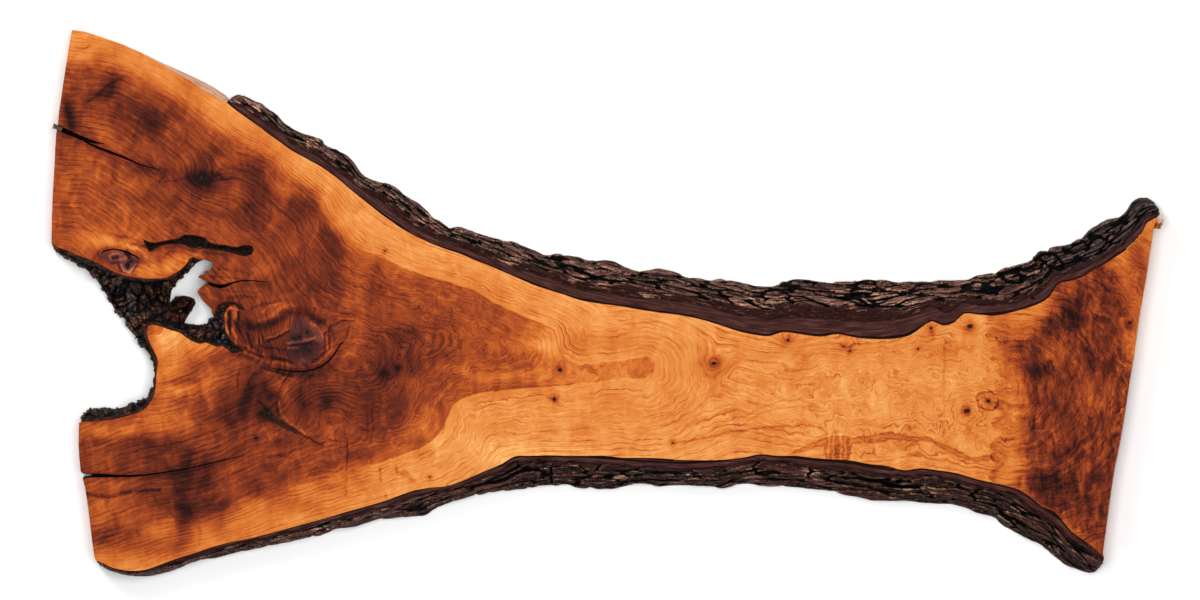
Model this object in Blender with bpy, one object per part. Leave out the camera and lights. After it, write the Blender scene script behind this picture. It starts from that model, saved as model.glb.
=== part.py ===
"""A live-edge walnut slab, sawn lengthwise through the fork of a trunk.

The slab lies flat. X runs along the trunk from the fork (-X) to the butt (+X), Y runs across it and
Z is up. The origin is under the middle of the slab, on the surface that it lies on. The sawn faces are
level, the bark slopes outwards from the upper face to the lower one, and bark that the fork grew round
closes a hole between the limbs. All the sizes below are in millimetres.
"""
import math
from collections import namedtuple

import bmesh
import bpy
from mathutils import Vector, noise

MM = 0.001

# Driving dimensions
THICKNESS = 60.0
SEAT_GAP = 0.35            # clearance that touching pieces keep
WOOD_SEAT = 0.45           # how far the wood stands back from the edge barks
CHIP_SEAT = 0.55           # how far the torn chip stands off the butt end
STATION_STEP = 11.0        # distance between the bark's cross-sections
END_STEP = 30.0            # distance between points along the sawn ends
FORK_STEP = 9.0            # distance between points round the fork's bark
END_LEAN = 5.0             # the butt's sawn end stands this much further out at its foot

# Bark relief
FACE_POINTS = 7            # points down the bark's outer face
RIDGE_PITCH = 27.0         # from one ridge to the next, measured down the face
RIDGE_HEIGHT = 6.5
RIDGE_FULLNESS = 0.6       # below 1 the ridges are broad and the furrows narrow
RIDGE_MEAN = 0.62          # mean height of such a ridge over its full height
RIDGE_SWAY = 1.3           # how many ridges they wander by
RIDGE_SWAY_LENGTH = 150.0
RIDGE_SWAY_DEPTH = 70.0
PLATE_LENGTH = 42.0
PLATE_SHARE = 0.55         # how much the ridges' broken plates differ in height
FULL_RELIEF_BAND = 18.0    # bark with a narrower sawn band than this has lower ridges
FOOT_CALM = 0.55           # share of their height that the ridges lose towards the foot
FACE_BULGE = 0.07          # share of the slope by which the outer face is rounded
TOE_HEIGHT = 9.0           # the bark turns back under itself below this height
TOE_TUCK = 4.0
TOE_TUCK_LIMIT = 0.35      # the most that the foot turns back, as a share of the band's width

# Fork bark
FORK_RIM = 9.0             # sawn rim of the fork's bark beside the wood
FORK_FALL = 36.0           # drop from the rim to the bark's rough crotch
FORK_FALL_RUN = 46.0
FORK_LUMP = 7.0
FORK_LUMP_SIZE = 24.0
FORK_FOLD_SIZE = (38.0, 21.0)
FORK_FOLD_SHARE = 0.6
FORK_LUMP_RISE = 4.0       # how fast the lumps set in beyond the rim
ARM_SINK = 5.0             # the narrow arms of bark by the hole lie this far below the face
ARM_LUMP = 4.2
ARM_EAST_OF = -848.0
LUMP_GRID = 9.5
OVERCUT = 8.0              # how far a cutter stands clear of the face that it cuts

# Included bark
SLOT_DEPTH = 28.0
SLOT_SINK = 5.0
SLOT_LUMP = 3.0
SLOT_LUMP_SIZE = 13.0

# Checks (drying cracks): each row is x, y and width
CHECK_DEPTH = 42.0
CHECK_TAPER = 0.35         # width at the bottom of a check over its width at the face
KNOT_CRACK_DEPTH = 12.0
UPPER_CHECK = [(-1112, 354, 14), (-1096, 351, 12), (-1082, 344, 10), (-1068, 338, 9.6), (-1052, 331, 9),
               (-1036, 325, 7.2), (-1020, 321, 4), (-1002, 318, 0.8)]
UPPER_CHECK_BRANCH = [(-1044, 323, 2), (-1028, 316, 4.4), (-1012, 309, 5.2), (-992, 302, 5.6), (-972, 294, 5),
                      (-952, 286, 3.6), (-932, 277, 2.6), (-912, 271, 1.8), (-890, 265, 0.8)]
LOWER_CHECK = [(-1060, -345, 14), (-1046, -345, 11.6), (-1032, -345, 8), (-1012, -345, 8), (-972, -346, 5),
               (-932, -345, 3.6), (-892, -340, 2.8), (-842, -332, 2.4), (-772, -316, 2.2), (-722, -304, 0.8)]
LOWER_CHECK_MOUTH = [(-1062, -345, 15), (-1046, -345, 11.2), (-1036, -345, 7), (-1030, -345, 1)]
HOLE_CHECK = [(-806, 39, 6), (-796, 40, 6), (-786, 36, 7), (-772, 33, 8), (-760, 35, 7), (-748, 40, 3.6),
              (-732, 44, 3), (-712, 45, 2.4), (-688, 43, 1.6), (-676, 42, 0.8)]
KNOT_CRACK = [(-524, -78, 2), (-532, -83, 3.4), (-538, -94, 3.2), (-546, -106, 3.2), (-556, -117, 3.6),
              (-568, -126, 4), (-584, -133, 3.6), (-606, -137, 3.4), (-628, -137, 3.2), (-652, -133, 2.6),
              (-668, -130, 1.2)]
LOOSE_KNOT_CRACK = [(-1010, 98, 1.6), (-1005, 103, 2.8), (-996, 106, 3.4), (-985, 108, 3.2), (-969, 105, 3.6),
                    (-957, 101, 6), (-950, 97, 3.6), (-941, 94, 3.2), (-934, 88, 1.8)]

# Outline of the wood, each chain in its turn clockwise seen from above.
# Bare upper edge of the upper limb: x, y at the upper face, then x, y at the lower face.
BARE_EDGE = [(-1068, 546, -1068, 546), (-1044, 543, -1044, 543), (-1012, 533, -1012, 533),
             (-972, 519, -972, 519), (-932, 502, -932, 502), (-912, 490, -911, 492), (-892, 480, -891, 482),
             (-874, 469, -870, 473), (-852, 456, -847, 463), (-832, 445, -826, 453), (-812, 430, -805, 443),
             (-792, 419, -785, 432), (-766, 405, -762, 416)]
# Upper bark: x, y of the wood's edge at the upper face, x, y of the bark's foot, width of the sawn band.
UPPER_BARK = [
    (-758, 401, -752, 409, 3), (-750, 394, -732, 421, 14), (-732, 380, -708, 410, 22), (-708, 363, -676, 394, 24),
    (-688, 349, -654, 379, 24), (-670, 335, -644, 363, 24), (-650, 321, -624, 351, 24), (-628, 305, -598, 340, 24),
    (-604, 292, -568, 330, 24), (-586, 282, -564, 320, 24), (-570, 273, -544, 311, 24), (-548, 258, -518, 296, 24),
    (-530, 244, -502, 278, 26), (-512, 228, -490, 260, 28), (-492, 212, -462, 247, 30), (-468, 193, -432, 240, 32),
    (-448, 177, -412, 226, 32), (-428, 163, -394, 214, 32), (-408, 149, -376, 201, 30), (-388, 138, -356, 184, 28),
    (-368, 128, -342, 172, 26), (-346, 118, -320, 155, 24), (-320, 108, -300, 152, 24), (-292, 99, -272, 146, 25),
    (-264, 87, -244, 135, 26), (-236, 76, -214, 127, 27), (-208, 64, -188, 125, 29), (-180, 52, -158, 112, 32),
    (-148, 38, -124, 102, 36), (-116, 27, -92, 98, 40), (-84, 17, -64, 97, 40), (-52, 6, -32, 89, 40),
    (-12, -1, 4, 89, 40), (28, -6, 38, 74, 40), (68, -13, 78, 66, 41), (108, -19, 116, 68, 43),
    (148, -24, 158, 57, 46), (188, -32, 198, 49, 50), (228, -44, 236, 48, 54), (264, -56, 274, 43, 58),
    (296, -63, 304, 37, 61), (326, -66, 334, 38, 62), (354, -58, 362, 46, 63), (388, -62, 384, 51, 64),
    (428, -67, 428, 45, 64), (464, -62, 468, 43, 65), (500, -69, 502, 47, 66), (538, -72, 542, 49, 66),
    (578, -71, 576, 46, 64), (608, -64, 606, 46, 60), (630, -49, 632, 47, 54), (652, -36, 656, 47, 50),
    (674, -45, 676, 47, 46), (698, -38, 700, 47, 40), (716, -21, 724, 49, 36), (748, -23, 746, 58, 32),
    (780, -25, 774, 61, 28), (812, -18, 802, 72, 28), (844, -9, 826, 80, 30), (870, 1, 852, 88, 30),
    (888, 14, 866, 106, 30), (904, 38, 884, 109, 30), (926, 44, 910, 117, 28), (952, 52, 934, 121, 27),
    (972, 65, 954, 133, 26), (992, 75, 968, 149, 25), (1012, 88, 984, 160, 24), (1032, 101, 1002, 172, 23),
    (1050, 115, 1026, 173, 22), (1064, 130, 1044, 188, 20), (1074, 145, 1052, 203, 20), (1082, 161, 1068, 214, 18),
    (1092, 167, 1086, 215, 16), (1102, 172, 1100, 204, 12), (1108, 179, 1108, 190, 5)]
# Butt end, at the lower face.
BUTT_END = [(1107, 169), (1104, 161), (1100, 151), (1098, 140), (1096, 126), (1090, 86), (1084, 46), (1076, 2),
            (1070, -34), (1062, -94), (1052, -154), (1043, -214), (1033, -274), (1021, -334), (1012, -394),
            (1004, -454), (998, -498)]
# Lower bark, from the limb's end to the butt, in the same terms as the upper bark.
LOWER_BARK = [
    (-1020, -515, -1019, -522, 3), (-1004, -522, -1006, -532, 4), (-984, -531, -986, -542, 5),
    (-952, -536, -950, -548, 6), (-922, -534, -916, -547, 6), (-892, -524, -884, -540, 8),
    (-860, -512, -850, -530, 9), (-828, -502, -816, -519, 9), (-792, -490, -780, -510, 10),
    (-752, -479, -742, -502, 11), (-712, -471, -702, -493, 11), (-672, -461, -660, -484, 12),
    (-632, -450, -620, -475, 13), (-592, -439, -582, -468, 14), (-552, -428, -540, -454, 14),
    (-512, -416, -500, -448, 15), (-476, -406, -462, -434, 15), (-442, -396, -432, -431, 16),
    (-412, -385, -398, -432, 17), (-382, -375, -364, -428, 18), (-352, -370, -344, -413, 18),
    (-322, -367, -312, -403, 17), (-292, -358, -280, -392, 17), (-264, -346, -248, -383, 18),
    (-236, -334, -218, -378, 19), (-208, -322, -190, -374, 20), (-182, -307, -164, -373, 21),
    (-152, -306, -136, -370, 21), (-112, -305, -104, -369, 20), (-82, -306, -80, -366, 20),
    (-42, -306, -38, -374, 20), (-2, -306, -2, -373, 20), (32, -310, 34, -372, 20), (68, -310, 68, -366, 20),
    (108, -311, 108, -370, 20), (148, -314, 148, -368, 20), (188, -315, 190, -371, 20), (232, -314, 234, -373, 20),
    (272, -310, 274, -365, 20), (308, -303, 308, -366, 20), (344, -306, 346, -368, 20), (378, -306, 376, -372, 20),
    (412, -310, 408, -375, 20), (450, -313, 446, -379, 20), (488, -315, 482, -385, 20), (524, -322, 516, -392, 20),
    (560, -326, 550, -397, 20), (596, -335, 586, -400, 20), (628, -331, 618, -400, 21), (664, -335, 650, -404, 22),
    (698, -340, 682, -407, 22), (732, -350, 714, -413, 22), (764, -358, 742, -422, 22), (796, -365, 774, -433, 22),
    (824, -373, 794, -450, 22), (848, -388, 820, -465, 23), (872, -408, 848, -476, 24), (896, -417, 870, -489, 24),
    (914, -437, 892, -507, 24), (932, -458, 912, -523, 23), (952, -473, 934, -535, 22), (972, -487, 960, -543, 20),
    (988, -502, 980, -543, 14), (996, -510, 993, -528, 6)]
LOWER_LIMB_END = [(-1023, -510), (-1028, -474), (-1034, -424), (-1042, -368), (-1051, -334), (-1055, -280),
                  (-1054, -240)]
# Wood's edge round the fork's bark: along the lower limb, then up the side of the bark's arm to the hole.
LOWER_FORK_EDGE = [(-1050, -238), (-1032, -237), (-1012, -236), (-992, -234), (-972, -230), (-952, -225),
                   (-932, -217), (-920, -210), (-906, -190), (-901, -170), (-899, -142), (-896, -118), (-898, -108),
                   (-904, -96), (-910, -84), (-916, -70), (-918, -58), (-916, -46), (-908, -43), (-888, -48),
                   (-872, -54), (-852, -60), (-832, -74), (-812, -82), (-802, -79), (-792, -82), (-778, -88),
                   (-768, -86), (-756, -94), (-748, -100), (-736, -99), (-724, -96), (-740, -83), (-752, -70),
                   (-760, -56), (-762, -40), (-763, -24), (-759, -13), (-752, -5), (-764, -2), (-776, -7),
                   (-782, -16), (-785, -27)]
HOLE_WOOD_EDGE = [(-788, -20), (-789, -12), (-798, -4), (-808, 6), (-814, 16), (-818, 22), (-814, 28), (-806, 35),
                  (-796, 40), (-800, 43), (-808, 47), (-816, 52), (-812, 56), (-800, 58), (-792, 61), (-802, 62),
                  (-806, 63), (-790, 66), (-786, 74), (-787, 81), (-796, 84), (-804, 87)]
UPPER_FORK_EDGE = [(-810, 86), (-818, 89), (-826, 92), (-832, 90), (-838, 80), (-852, 66), (-872, 54), (-886, 50),
                   (-916, 49), (-952, 53), (-976, 60), (-1002, 72), (-1032, 87), (-1052, 94), (-1072, 103),
                   (-1092, 110), (-1107, 115)]
UPPER_LIMB_END = [(-1109, 118), (-1109, 136), (-1107, 206), (-1103, 276), (-1100, 336), (-1096, 360), (-1094, 382),
                  (-1088, 422), (-1082, 462), (-1075, 506), (-1070, 536)]

# Fork bark: its free edge between the limbs, and its side of the hole.
FORK_FREE_EDGE = [(-1107, 109), (-1092, 98), (-1062, 80), (-1032, 58), (-1016, 38), (-1002, 16), (-994, 2),
                  (-986, -12), (-970, -28), (-964, -34), (-956, -54), (-936, -75), (-930, -86), (-920, -98),
                  (-912, -109), (-907, -114), (-906, -132), (-904, -146), (-908, -154), (-906, -164), (-914, -176),
                  (-914, -188), (-926, -194), (-952, -203), (-982, -212), (-1022, -212), (-1046, -221),
                  (-1051, -232)]
HOLE_BARK_EDGE = [(-787, -30), (-795, -35), (-799, -41), (-812, -44), (-828, -43), (-846, -40), (-841, -30),
                  (-831, -14), (-823, 0), (-826, 8), (-836, 13), (-848, 15), (-864, 12), (-871, 5), (-876, 0),
                  (-873, 14), (-872, 24), (-867, 33), (-858, 45), (-848, 56), (-838, 63), (-829, 73), (-822, 80)]

# Bark that the upper limb grew round.
SLOT_OUTLINE = [(-926, 128), (-912, 122), (-900, 121), (-882, 125), (-854, 130), (-842, 137), (-818, 135),
                (-804, 131), (-788, 120), (-760, 116), (-742, 112), (-722, 116), (-708, 114), (-703, 106),
                (-708, 98), (-720, 93), (-736, 96), (-758, 102), (-780, 105), (-802, 108), (-830, 110),
                (-844, 116), (-860, 117), (-882, 116), (-900, 109), (-914, 102)]

# Splinter in the mouth of the upper check, and a torn chip on the butt end.
SPLINTER_AXIS = [(-1107, 354.6, 12.0), (-1098.5, 351.5, 9.4), (-1088, 347.0, 8.2)]
SPLINTER_TOP = 55.0
SPLINTER_DEPTH = 20.0
SPLINTER_TAPER = 0.55      # width at its foot over its width at the top
CHIP_Y = (148.5, 166.5)
CHIP_Z = (18.0, 46.0)
CHIP_REACH = 14.5
CHIP_TAPER = 0.35          # how much less the chip stands out at its top and bottom
CHIP_ROUGHNESS = 2.5
CHIP_ROUGH_SIZE = 6.0
CHIP_CUTS = 3

Section = namedtuple("Section", "crown_in crown_out foot_out foot_in outward along")


def smooth_rows(rows, step):
    """Rows every step or so along a smooth curve through rows, whose first two numbers are a place."""
    dense = []
    for index in range(len(rows) - 1):
        before = rows[max(index - 1, 0)]
        start, end = rows[index], rows[index + 1]
        after = rows[min(index + 2, len(rows) - 1)]
        count = max(1, round(math.dist(start[:2], end[:2]) / step))
        for part in range(count):
            t = part / count
            dense.append(tuple(
                0.5 * (2 * b + (c - a) * t + (2 * a - 5 * b + 4 * c - d) * t ** 2 + (3 * b - a - 3 * c + d) * t ** 3)
                for a, b, c, d in zip(before, start, end, after)))
    dense.append(tuple(float(value) for value in rows[-1]))
    return dense


def shifted(chain, distance, closed=False):
    """The chain moved to its right-hand side by distance."""
    moved = []
    last = len(chain) - 1
    for index, point in enumerate(chain):
        back = chain[index - 1] if index > 0 or closed else point
        ahead = chain[(index + 1) % len(chain)] if index < last or closed else point
        way = (Vector(ahead[:2]) - Vector(back[:2])).normalized()
        moved.append((point[0] + way.y * distance, point[1] - way.x * distance))
    return moved


def edge_sections(rows):
    """Cross-sections of a bark strip, from the table of its two edges."""
    sections = []
    along = 0.0
    previous = None
    for x_in, y_in, x_out, y_out, band in smooth_rows(rows, STATION_STEP):
        inner, outer = Vector((x_in, y_in)), Vector((x_out, y_out))
        outward = (outer - inner).normalized()
        band = min(band, 0.5 * (outer - inner).length)
        if previous is not None:
            along += (inner - previous).length
        previous = inner
        sections.append(Section(inner, inner + outward * band, outer, outer - outward * band, outward, along))
    return sections


def bark_relief(along, down, seed):
    """Height of the ridges: long and rounded, swaying into each other, with furrows between them."""
    sway = noise.noise(Vector((along / RIDGE_SWAY_LENGTH, down / RIDGE_SWAY_DEPTH, seed)))
    phase = down / RIDGE_PITCH + RIDGE_SWAY * sway
    ridge = abs(math.sin(math.pi * phase)) ** RIDGE_FULLNESS
    plate = noise.noise(Vector((along / PLATE_LENGTH, math.floor(phase) * 7.3, seed + 5.0)))
    return RIDGE_HEIGHT * (ridge - RIDGE_MEAN + PLATE_SHARE * plate)


def bark_ring(section, seed):
    """Points round one cross-section: crown, outer face, toe and the foot's inner edge."""
    band = (section.crown_out - section.crown_in).length
    reach = (section.foot_out - section.crown_in).length
    slope = math.hypot(reach - band, THICKNESS)
    lively = min(1.0, band / FULL_RELIEF_BAND)
    tuck = min(TOE_TUCK, TOE_TUCK_LIMIT * band)
    ring = [(section.crown_in, THICKNESS)]
    for index in range(FACE_POINTS + 1):
        t = index / FACE_POINTS
        rise = t + FACE_BULGE * math.sin(math.pi * t)
        calm = 1.0 - FOOT_CALM * t ** 3
        height = bark_relief(section.along, t * slope, seed) * lively * calm
        lateral = band + (reach - band) * rise + height
        ring.append((section.crown_in + section.outward * lateral, THICKNESS + (TOE_HEIGHT - THICKNESS) * t))
    toe = ring[-1][0] - section.outward * tuck
    ring.append((toe, 0.0))
    ring.append((section.foot_in, 0.0))
    return [(place.x, place.y, z) for place, z in ring]


def vertex(bm, x, y, z):
    return bm.verts.new((x * MM, y * MM, z * MM))


def finish_mesh(bm, name, collection, material=None):
    """Make an object of the bmesh, with its faces pointing out, and put it in the collection."""
    bmesh.ops.recalc_face_normals(bm, faces=bm.faces)
    if bm.calc_volume(signed=True) < 0.0:
        bmesh.ops.reverse_faces(bm, faces=bm.faces)
    mesh = bpy.data.meshes.new(name)
    bm.to_mesh(mesh)
    bm.free()
    body = bpy.data.objects.new(name, mesh)
    if material is not None:
        mesh.materials.append(material)
    collection.objects.link(body)
    return body


def split_wall(bm, top_a, top_b, foot_a, foot_b):
    """Two triangles for a wall's quad, split from the station that lies further towards -X."""
    if top_a.co.x <= top_b.co.x:
        bm.faces.new((top_a, top_b, foot_b))
        bm.faces.new((top_a, foot_b, foot_a))
    else:
        bm.faces.new((top_a, top_b, foot_a))
        bm.faces.new((top_b, foot_b, foot_a))


def prism(name, collection, upper, lower, z_upper, z_lower, material=None):
    """A solid between two level outlines with matching points, which run clockwise seen from above."""
    bm = bmesh.new()
    tops = [vertex(bm, x, y, z_upper) for x, y in upper]
    feet = [vertex(bm, x, y, z_lower) for x, y in lower]
    faces = [bm.faces.new(tops), bm.faces.new(feet)]
    bmesh.ops.triangulate(bm, faces=faces)
    for index in range(len(tops)):
        split_wall(bm, tops[index - 1], tops[index], feet[index - 1], feet[index])
    return finish_mesh(bm, name, collection, material)


def bark_strip(name, collection, sections, seed, material):
    """A loft through the strip's cross-sections, closed at both ends."""
    bm = bmesh.new()
    rings = [[vertex(bm, *point) for point in bark_ring(section, seed)] for section in sections]
    last = len(rings[0]) - 1
    for ring, following in zip(rings, rings[1:]):
        for index in range(last):
            bm.faces.new((ring[index], ring[index + 1], following[index]))
            bm.faces.new((ring[index + 1], following[index + 1], following[index]))
        split_wall(bm, ring[0], following[0], ring[last], following[last])
    caps = [bm.faces.new(rings[0]), bm.faces.new(rings[-1])]
    bmesh.ops.triangulate(bm, faces=caps)
    return finish_mesh(bm, name, collection, material)


def groove(name, collection, rows, depth):
    """A cutter for a check: it follows the rows of x, y and width at the face, and narrows downwards."""
    line = smooth_rows(rows, 2 * FORK_STEP)
    outlines = []
    for share in (1.0 + (1.0 - CHECK_TAPER) * OVERCUT / depth, CHECK_TAPER):
        sides = [[], []]
        for index, (x, y, width) in enumerate(line):
            way = Vector(line[min(index + 1, len(line) - 1)][:2]) - Vector(line[max(index - 1, 0)][:2])
            way.normalize()
            half = 0.5 * width * share
            sides[0].append((x - way.y * half, y + way.x * half))
            sides[1].append((x + way.y * half, y - way.x * half))
        outlines.append(sides[0] + sides[1][::-1])
    return prism(name, collection, outlines[0], outlines[1], THICKNESS + OVERCUT, THICKNESS - depth)


def lumpy_block(name, collection, outline, height):
    """A block over the outline's box whose upper side is height(x, y), to trim a prism with."""
    xs, ys = [x for x, _ in outline], [y for _, y in outline]
    low, high = (min(xs) - OVERCUT, min(ys) - OVERCUT), (max(xs) + OVERCUT, max(ys) + OVERCUT)
    bm = bmesh.new()
    bmesh.ops.create_grid(
        bm, x_segments=round((high[0] - low[0]) / LUMP_GRID), y_segments=round((high[1] - low[1]) / LUMP_GRID),
        size=0.5)
    for vert in bm.verts:
        x = low[0] + (vert.co.x + 0.5) * (high[0] - low[0])
        y = low[1] + (vert.co.y + 0.5) * (high[1] - low[1])
        vert.co = Vector((x, y, height(x, y))) * MM
    bmesh.ops.triangulate(bm, faces=bm.faces)
    skirt = bmesh.ops.extrude_face_region(bm, geom=bm.faces[:], use_keep_orig=True)
    for item in skirt["geom"]:
        if isinstance(item, bmesh.types.BMVert):
            item.co.z = -OVERCUT * MM
    return finish_mesh(bm, name, collection)


def trim(body, cutter, operation="DIFFERENCE"):
    """Cut the body with the cutter, or keep only what lies inside it."""
    modifier = body.modifiers.new(cutter.name, "BOOLEAN")
    modifier.operation = operation
    modifier.solver = "EXACT"
    modifier.object = cutter
    cutter.hide_render = True
    cutter.display_type = "WIRE"


def painted(name, colour, roughness):
    material = bpy.data.materials.new(name)
    material.use_nodes = True
    shader = material.node_tree.nodes["Principled BSDF"]
    shader.inputs["Base Color"].default_value = (*colour, 1.0)
    shader.inputs["Roughness"].default_value = roughness
    shader.inputs["Metallic"].default_value = 0.0
    return material


def wood_outlines(upper_sections, lower_sections):
    """The wood's outline at the upper face and at the lower face, point for point."""
    pairs = [((a, b), (c, d)) for a, b, c, d in smooth_rows(BARE_EDGE, END_STEP)]
    for section in upper_sections:
        seat = section.outward * WOOD_SEAT
        pairs.append((tuple(section.crown_in - seat), tuple(section.foot_in - seat)))
    for x, y in smooth_rows(BUTT_END, END_STEP):
        pairs.append(((x - END_LEAN, y), (x, y)))
    for section in reversed(lower_sections):
        seat = section.outward * WOOD_SEAT
        pairs.append((tuple(section.crown_in - seat), tuple(section.foot_in - seat)))
    upright = smooth_rows(LOWER_LIMB_END, END_STEP) + smooth_rows(LOWER_FORK_EDGE, FORK_STEP)
    upright += [(float(x), float(y)) for x, y in HOLE_WOOD_EDGE]
    upright += smooth_rows(UPPER_FORK_EDGE, FORK_STEP) + smooth_rows(UPPER_LIMB_END, END_STEP)
    pairs += [(point, point) for point in upright]
    return [top for top, _ in pairs], [foot for _, foot in pairs]


def make_wood(collection, cutters, material):
    """The sawn wood, with its checks, the loose rims of two knots and the pocket of included bark."""
    upper, lower = wood_outlines(edge_sections(UPPER_BARK), edge_sections(LOWER_BARK))
    wood = prism("walnut_wood", collection, upper, lower, THICKNESS, 0.0, material)
    trim(wood, groove("cut_upper_check", cutters, UPPER_CHECK, CHECK_DEPTH))
    trim(wood, groove("cut_upper_check_branch", cutters, UPPER_CHECK_BRANCH, CHECK_DEPTH - 6.0))
    trim(wood, groove("cut_lower_check", cutters, LOWER_CHECK, CHECK_DEPTH))
    trim(wood, groove("cut_lower_check_mouth", cutters, LOWER_CHECK_MOUTH, THICKNESS + OVERCUT))
    trim(wood, groove("cut_hole_check", cutters, HOLE_CHECK, CHECK_DEPTH - 4.0))
    trim(wood, groove("cut_knot_crack", cutters, KNOT_CRACK, KNOT_CRACK_DEPTH))
    trim(wood, groove("cut_loose_knot_crack", cutters, LOOSE_KNOT_CRACK, KNOT_CRACK_DEPTH))
    pocket = smooth_rows(SLOT_OUTLINE + SLOT_OUTLINE[:1], FORK_STEP)[:-1]
    trim(wood, prism("cut_pocket", cutters, pocket, pocket, THICKNESS + OVERCUT, THICKNESS - SLOT_DEPTH))
    return wood


def fork_height(x, y, rim):
    """Level beside the wood, then falling away into the crotch in rough lumps."""
    nearest = min(math.hypot(x - a, y - b) for a, b in rim)
    into = min(max((nearest - FORK_RIM) / FORK_FALL_RUN, 0.0), 1.0)
    wave = noise.noise(Vector((x / FORK_LUMP_SIZE, y / FORK_LUMP_SIZE, 3.1)))
    fold = 1.0 - 2.0 * abs(noise.noise(Vector((x / FORK_FOLD_SIZE[0], y / FORK_FOLD_SIZE[1], 8.4))))
    lump = FORK_LUMP * (wave + FORK_FOLD_SHARE * fold) * min(1.0, into * FORK_LUMP_RISE)
    sink = 0.0
    if x > ARM_EAST_OF:
        sink = ARM_SINK + ARM_LUMP * wave
    return THICKNESS - FORK_FALL * math.sin(0.5 * math.pi * into) + lump - max(sink, 0.0)


def make_fork_bark(collection, cutters, material):
    """The bark between the limbs, which also walls the hole on its left and lower sides."""
    lower_edge = smooth_rows(LOWER_FORK_EDGE, FORK_STEP)
    upper_edge = smooth_rows(UPPER_FORK_EDGE, FORK_STEP)
    free_edge = smooth_rows(FORK_FREE_EDGE, FORK_STEP)
    hole_edge = [(float(x), float(y)) for x, y in HOLE_BARK_EDGE]
    outline = (shifted(lower_edge, -SEAT_GAP) + hole_edge + shifted(upper_edge, -SEAT_GAP) + free_edge)[::-1]
    rim = lower_edge + upper_edge
    bark = prism("fork_bark", collection, outline, outline, THICKNESS + OVERCUT, 0.0, material)
    block = lumpy_block("trim_fork", cutters, outline, lambda x, y: fork_height(x, y, rim))
    trim(bark, block, "INTERSECT")
    return bark


def slot_height(x, y):
    wave = noise.noise(Vector((x / SLOT_LUMP_SIZE, y / (0.6 * SLOT_LUMP_SIZE), 5.7)))
    return THICKNESS - SLOT_SINK + SLOT_LUMP * wave


def make_included_bark(collection, cutters, material):
    """The bark that fills the pocket in the upper limb, a little below the face."""
    pocket = smooth_rows(SLOT_OUTLINE + SLOT_OUTLINE[:1], FORK_STEP)[:-1]
    outline = shifted(pocket, SEAT_GAP, closed=True)
    floor = THICKNESS - SLOT_DEPTH + SEAT_GAP
    bark = prism("included_bark", collection, outline, outline, THICKNESS + OVERCUT, floor, material)
    trim(bark, lumpy_block("trim_included", cutters, outline, slot_height), "INTERSECT")
    return bark


def make_splinter(collection, material):
    """A tapered splinter standing in the mouth of the upper check."""
    start, end = Vector(SPLINTER_AXIS[0][:2]), Vector(SPLINTER_AXIS[-1][:2])
    way = (end - start).normalized()
    side = Vector((-way.y, way.x))
    outlines = []
    for share in (1.0, SPLINTER_TAPER):
        left = [Vector((x, y)) + side * width * share / 2 for x, y, width in SPLINTER_AXIS]
        right = [Vector((x, y)) - side * width * share / 2 for x, y, width in SPLINTER_AXIS]
        outlines.append([tuple(point) for point in left + right[::-1]])
    return prism("check_splinter", collection, outlines[0], outlines[1], SPLINTER_TOP,
                 SPLINTER_TOP - SPLINTER_DEPTH, material)


def butt_face_x(y, z):
    """Where the butt's sawn end stands, at a place across it and a height."""
    chain = smooth_rows(BUTT_END, END_STEP)
    for (x_a, y_a), (x_b, y_b) in zip(chain, chain[1:]):
        if y_b <= y <= y_a:
            foot = x_a + (x_b - x_a) * (y_a - y) / (y_a - y_b)
            return foot - END_LEAN * z / THICKNESS
    return chain[0][0]


def make_chip(collection, material):
    """A torn chip of wood that still hangs on the butt end below its upper corner."""
    bm = bmesh.new()
    bmesh.ops.create_cube(bm, size=1.0)
    bmesh.ops.subdivide_edges(bm, edges=bm.edges[:], cuts=CHIP_CUTS, use_grid_fill=True)
    for vert in bm.verts:
        out, across, up = vert.co.x + 0.5, vert.co.y + 0.5, vert.co.z + 0.5
        y = CHIP_Y[0] + across * (CHIP_Y[1] - CHIP_Y[0])
        z = CHIP_Z[0] + up * (CHIP_Z[1] - CHIP_Z[0])
        taper = 1.0 - CHIP_TAPER * (2 * up - 1) ** 2
        rough = CHIP_ROUGHNESS * noise.noise(Vector((y / CHIP_ROUGH_SIZE, z / CHIP_ROUGH_SIZE, out * 3.0)))
        x = butt_face_x(y, z) + CHIP_SEAT + out * (CHIP_REACH * taper + rough)
        vert.co = Vector((x, y + rough * out * 0.6, z)) * MM
    bmesh.ops.triangulate(bm, faces=bm.faces)
    return finish_mesh(bm, "butt_chip", collection, material)


def clear_scene():
    for leftover in list(bpy.data.objects):
        bpy.data.objects.remove(leftover)


def main():
    clear_scene()
    slab = bpy.data.collections.new("walnut_slab")
    cutters = bpy.data.collections.new("cutters")
    for collection in (slab, cutters):
        bpy.context.scene.collection.children.link(collection)
    wood_finish = painted("oiled_walnut", (0.42, 0.17, 0.07), 0.42)
    bark_finish = painted("walnut_bark", (0.075, 0.05, 0.042), 0.85)
    fork_finish = painted("fork_bark_finish", (0.04, 0.032, 0.03), 0.8)
    torn_finish = painted("torn_wood", (0.35, 0.19, 0.08), 0.5)
    make_wood(slab, cutters, wood_finish)
    bark_strip("upper_edge_bark", slab, edge_sections(UPPER_BARK), 2.0, bark_finish)
    bark_strip("lower_edge_bark", slab, edge_sections(LOWER_BARK), 17.0, bark_finish)
    make_fork_bark(slab, cutters, fork_finish)
    make_included_bark(slab, cutters, fork_finish)
    make_splinter(slab, torn_finish)
    make_chip(slab, torn_finish)


main()
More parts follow.
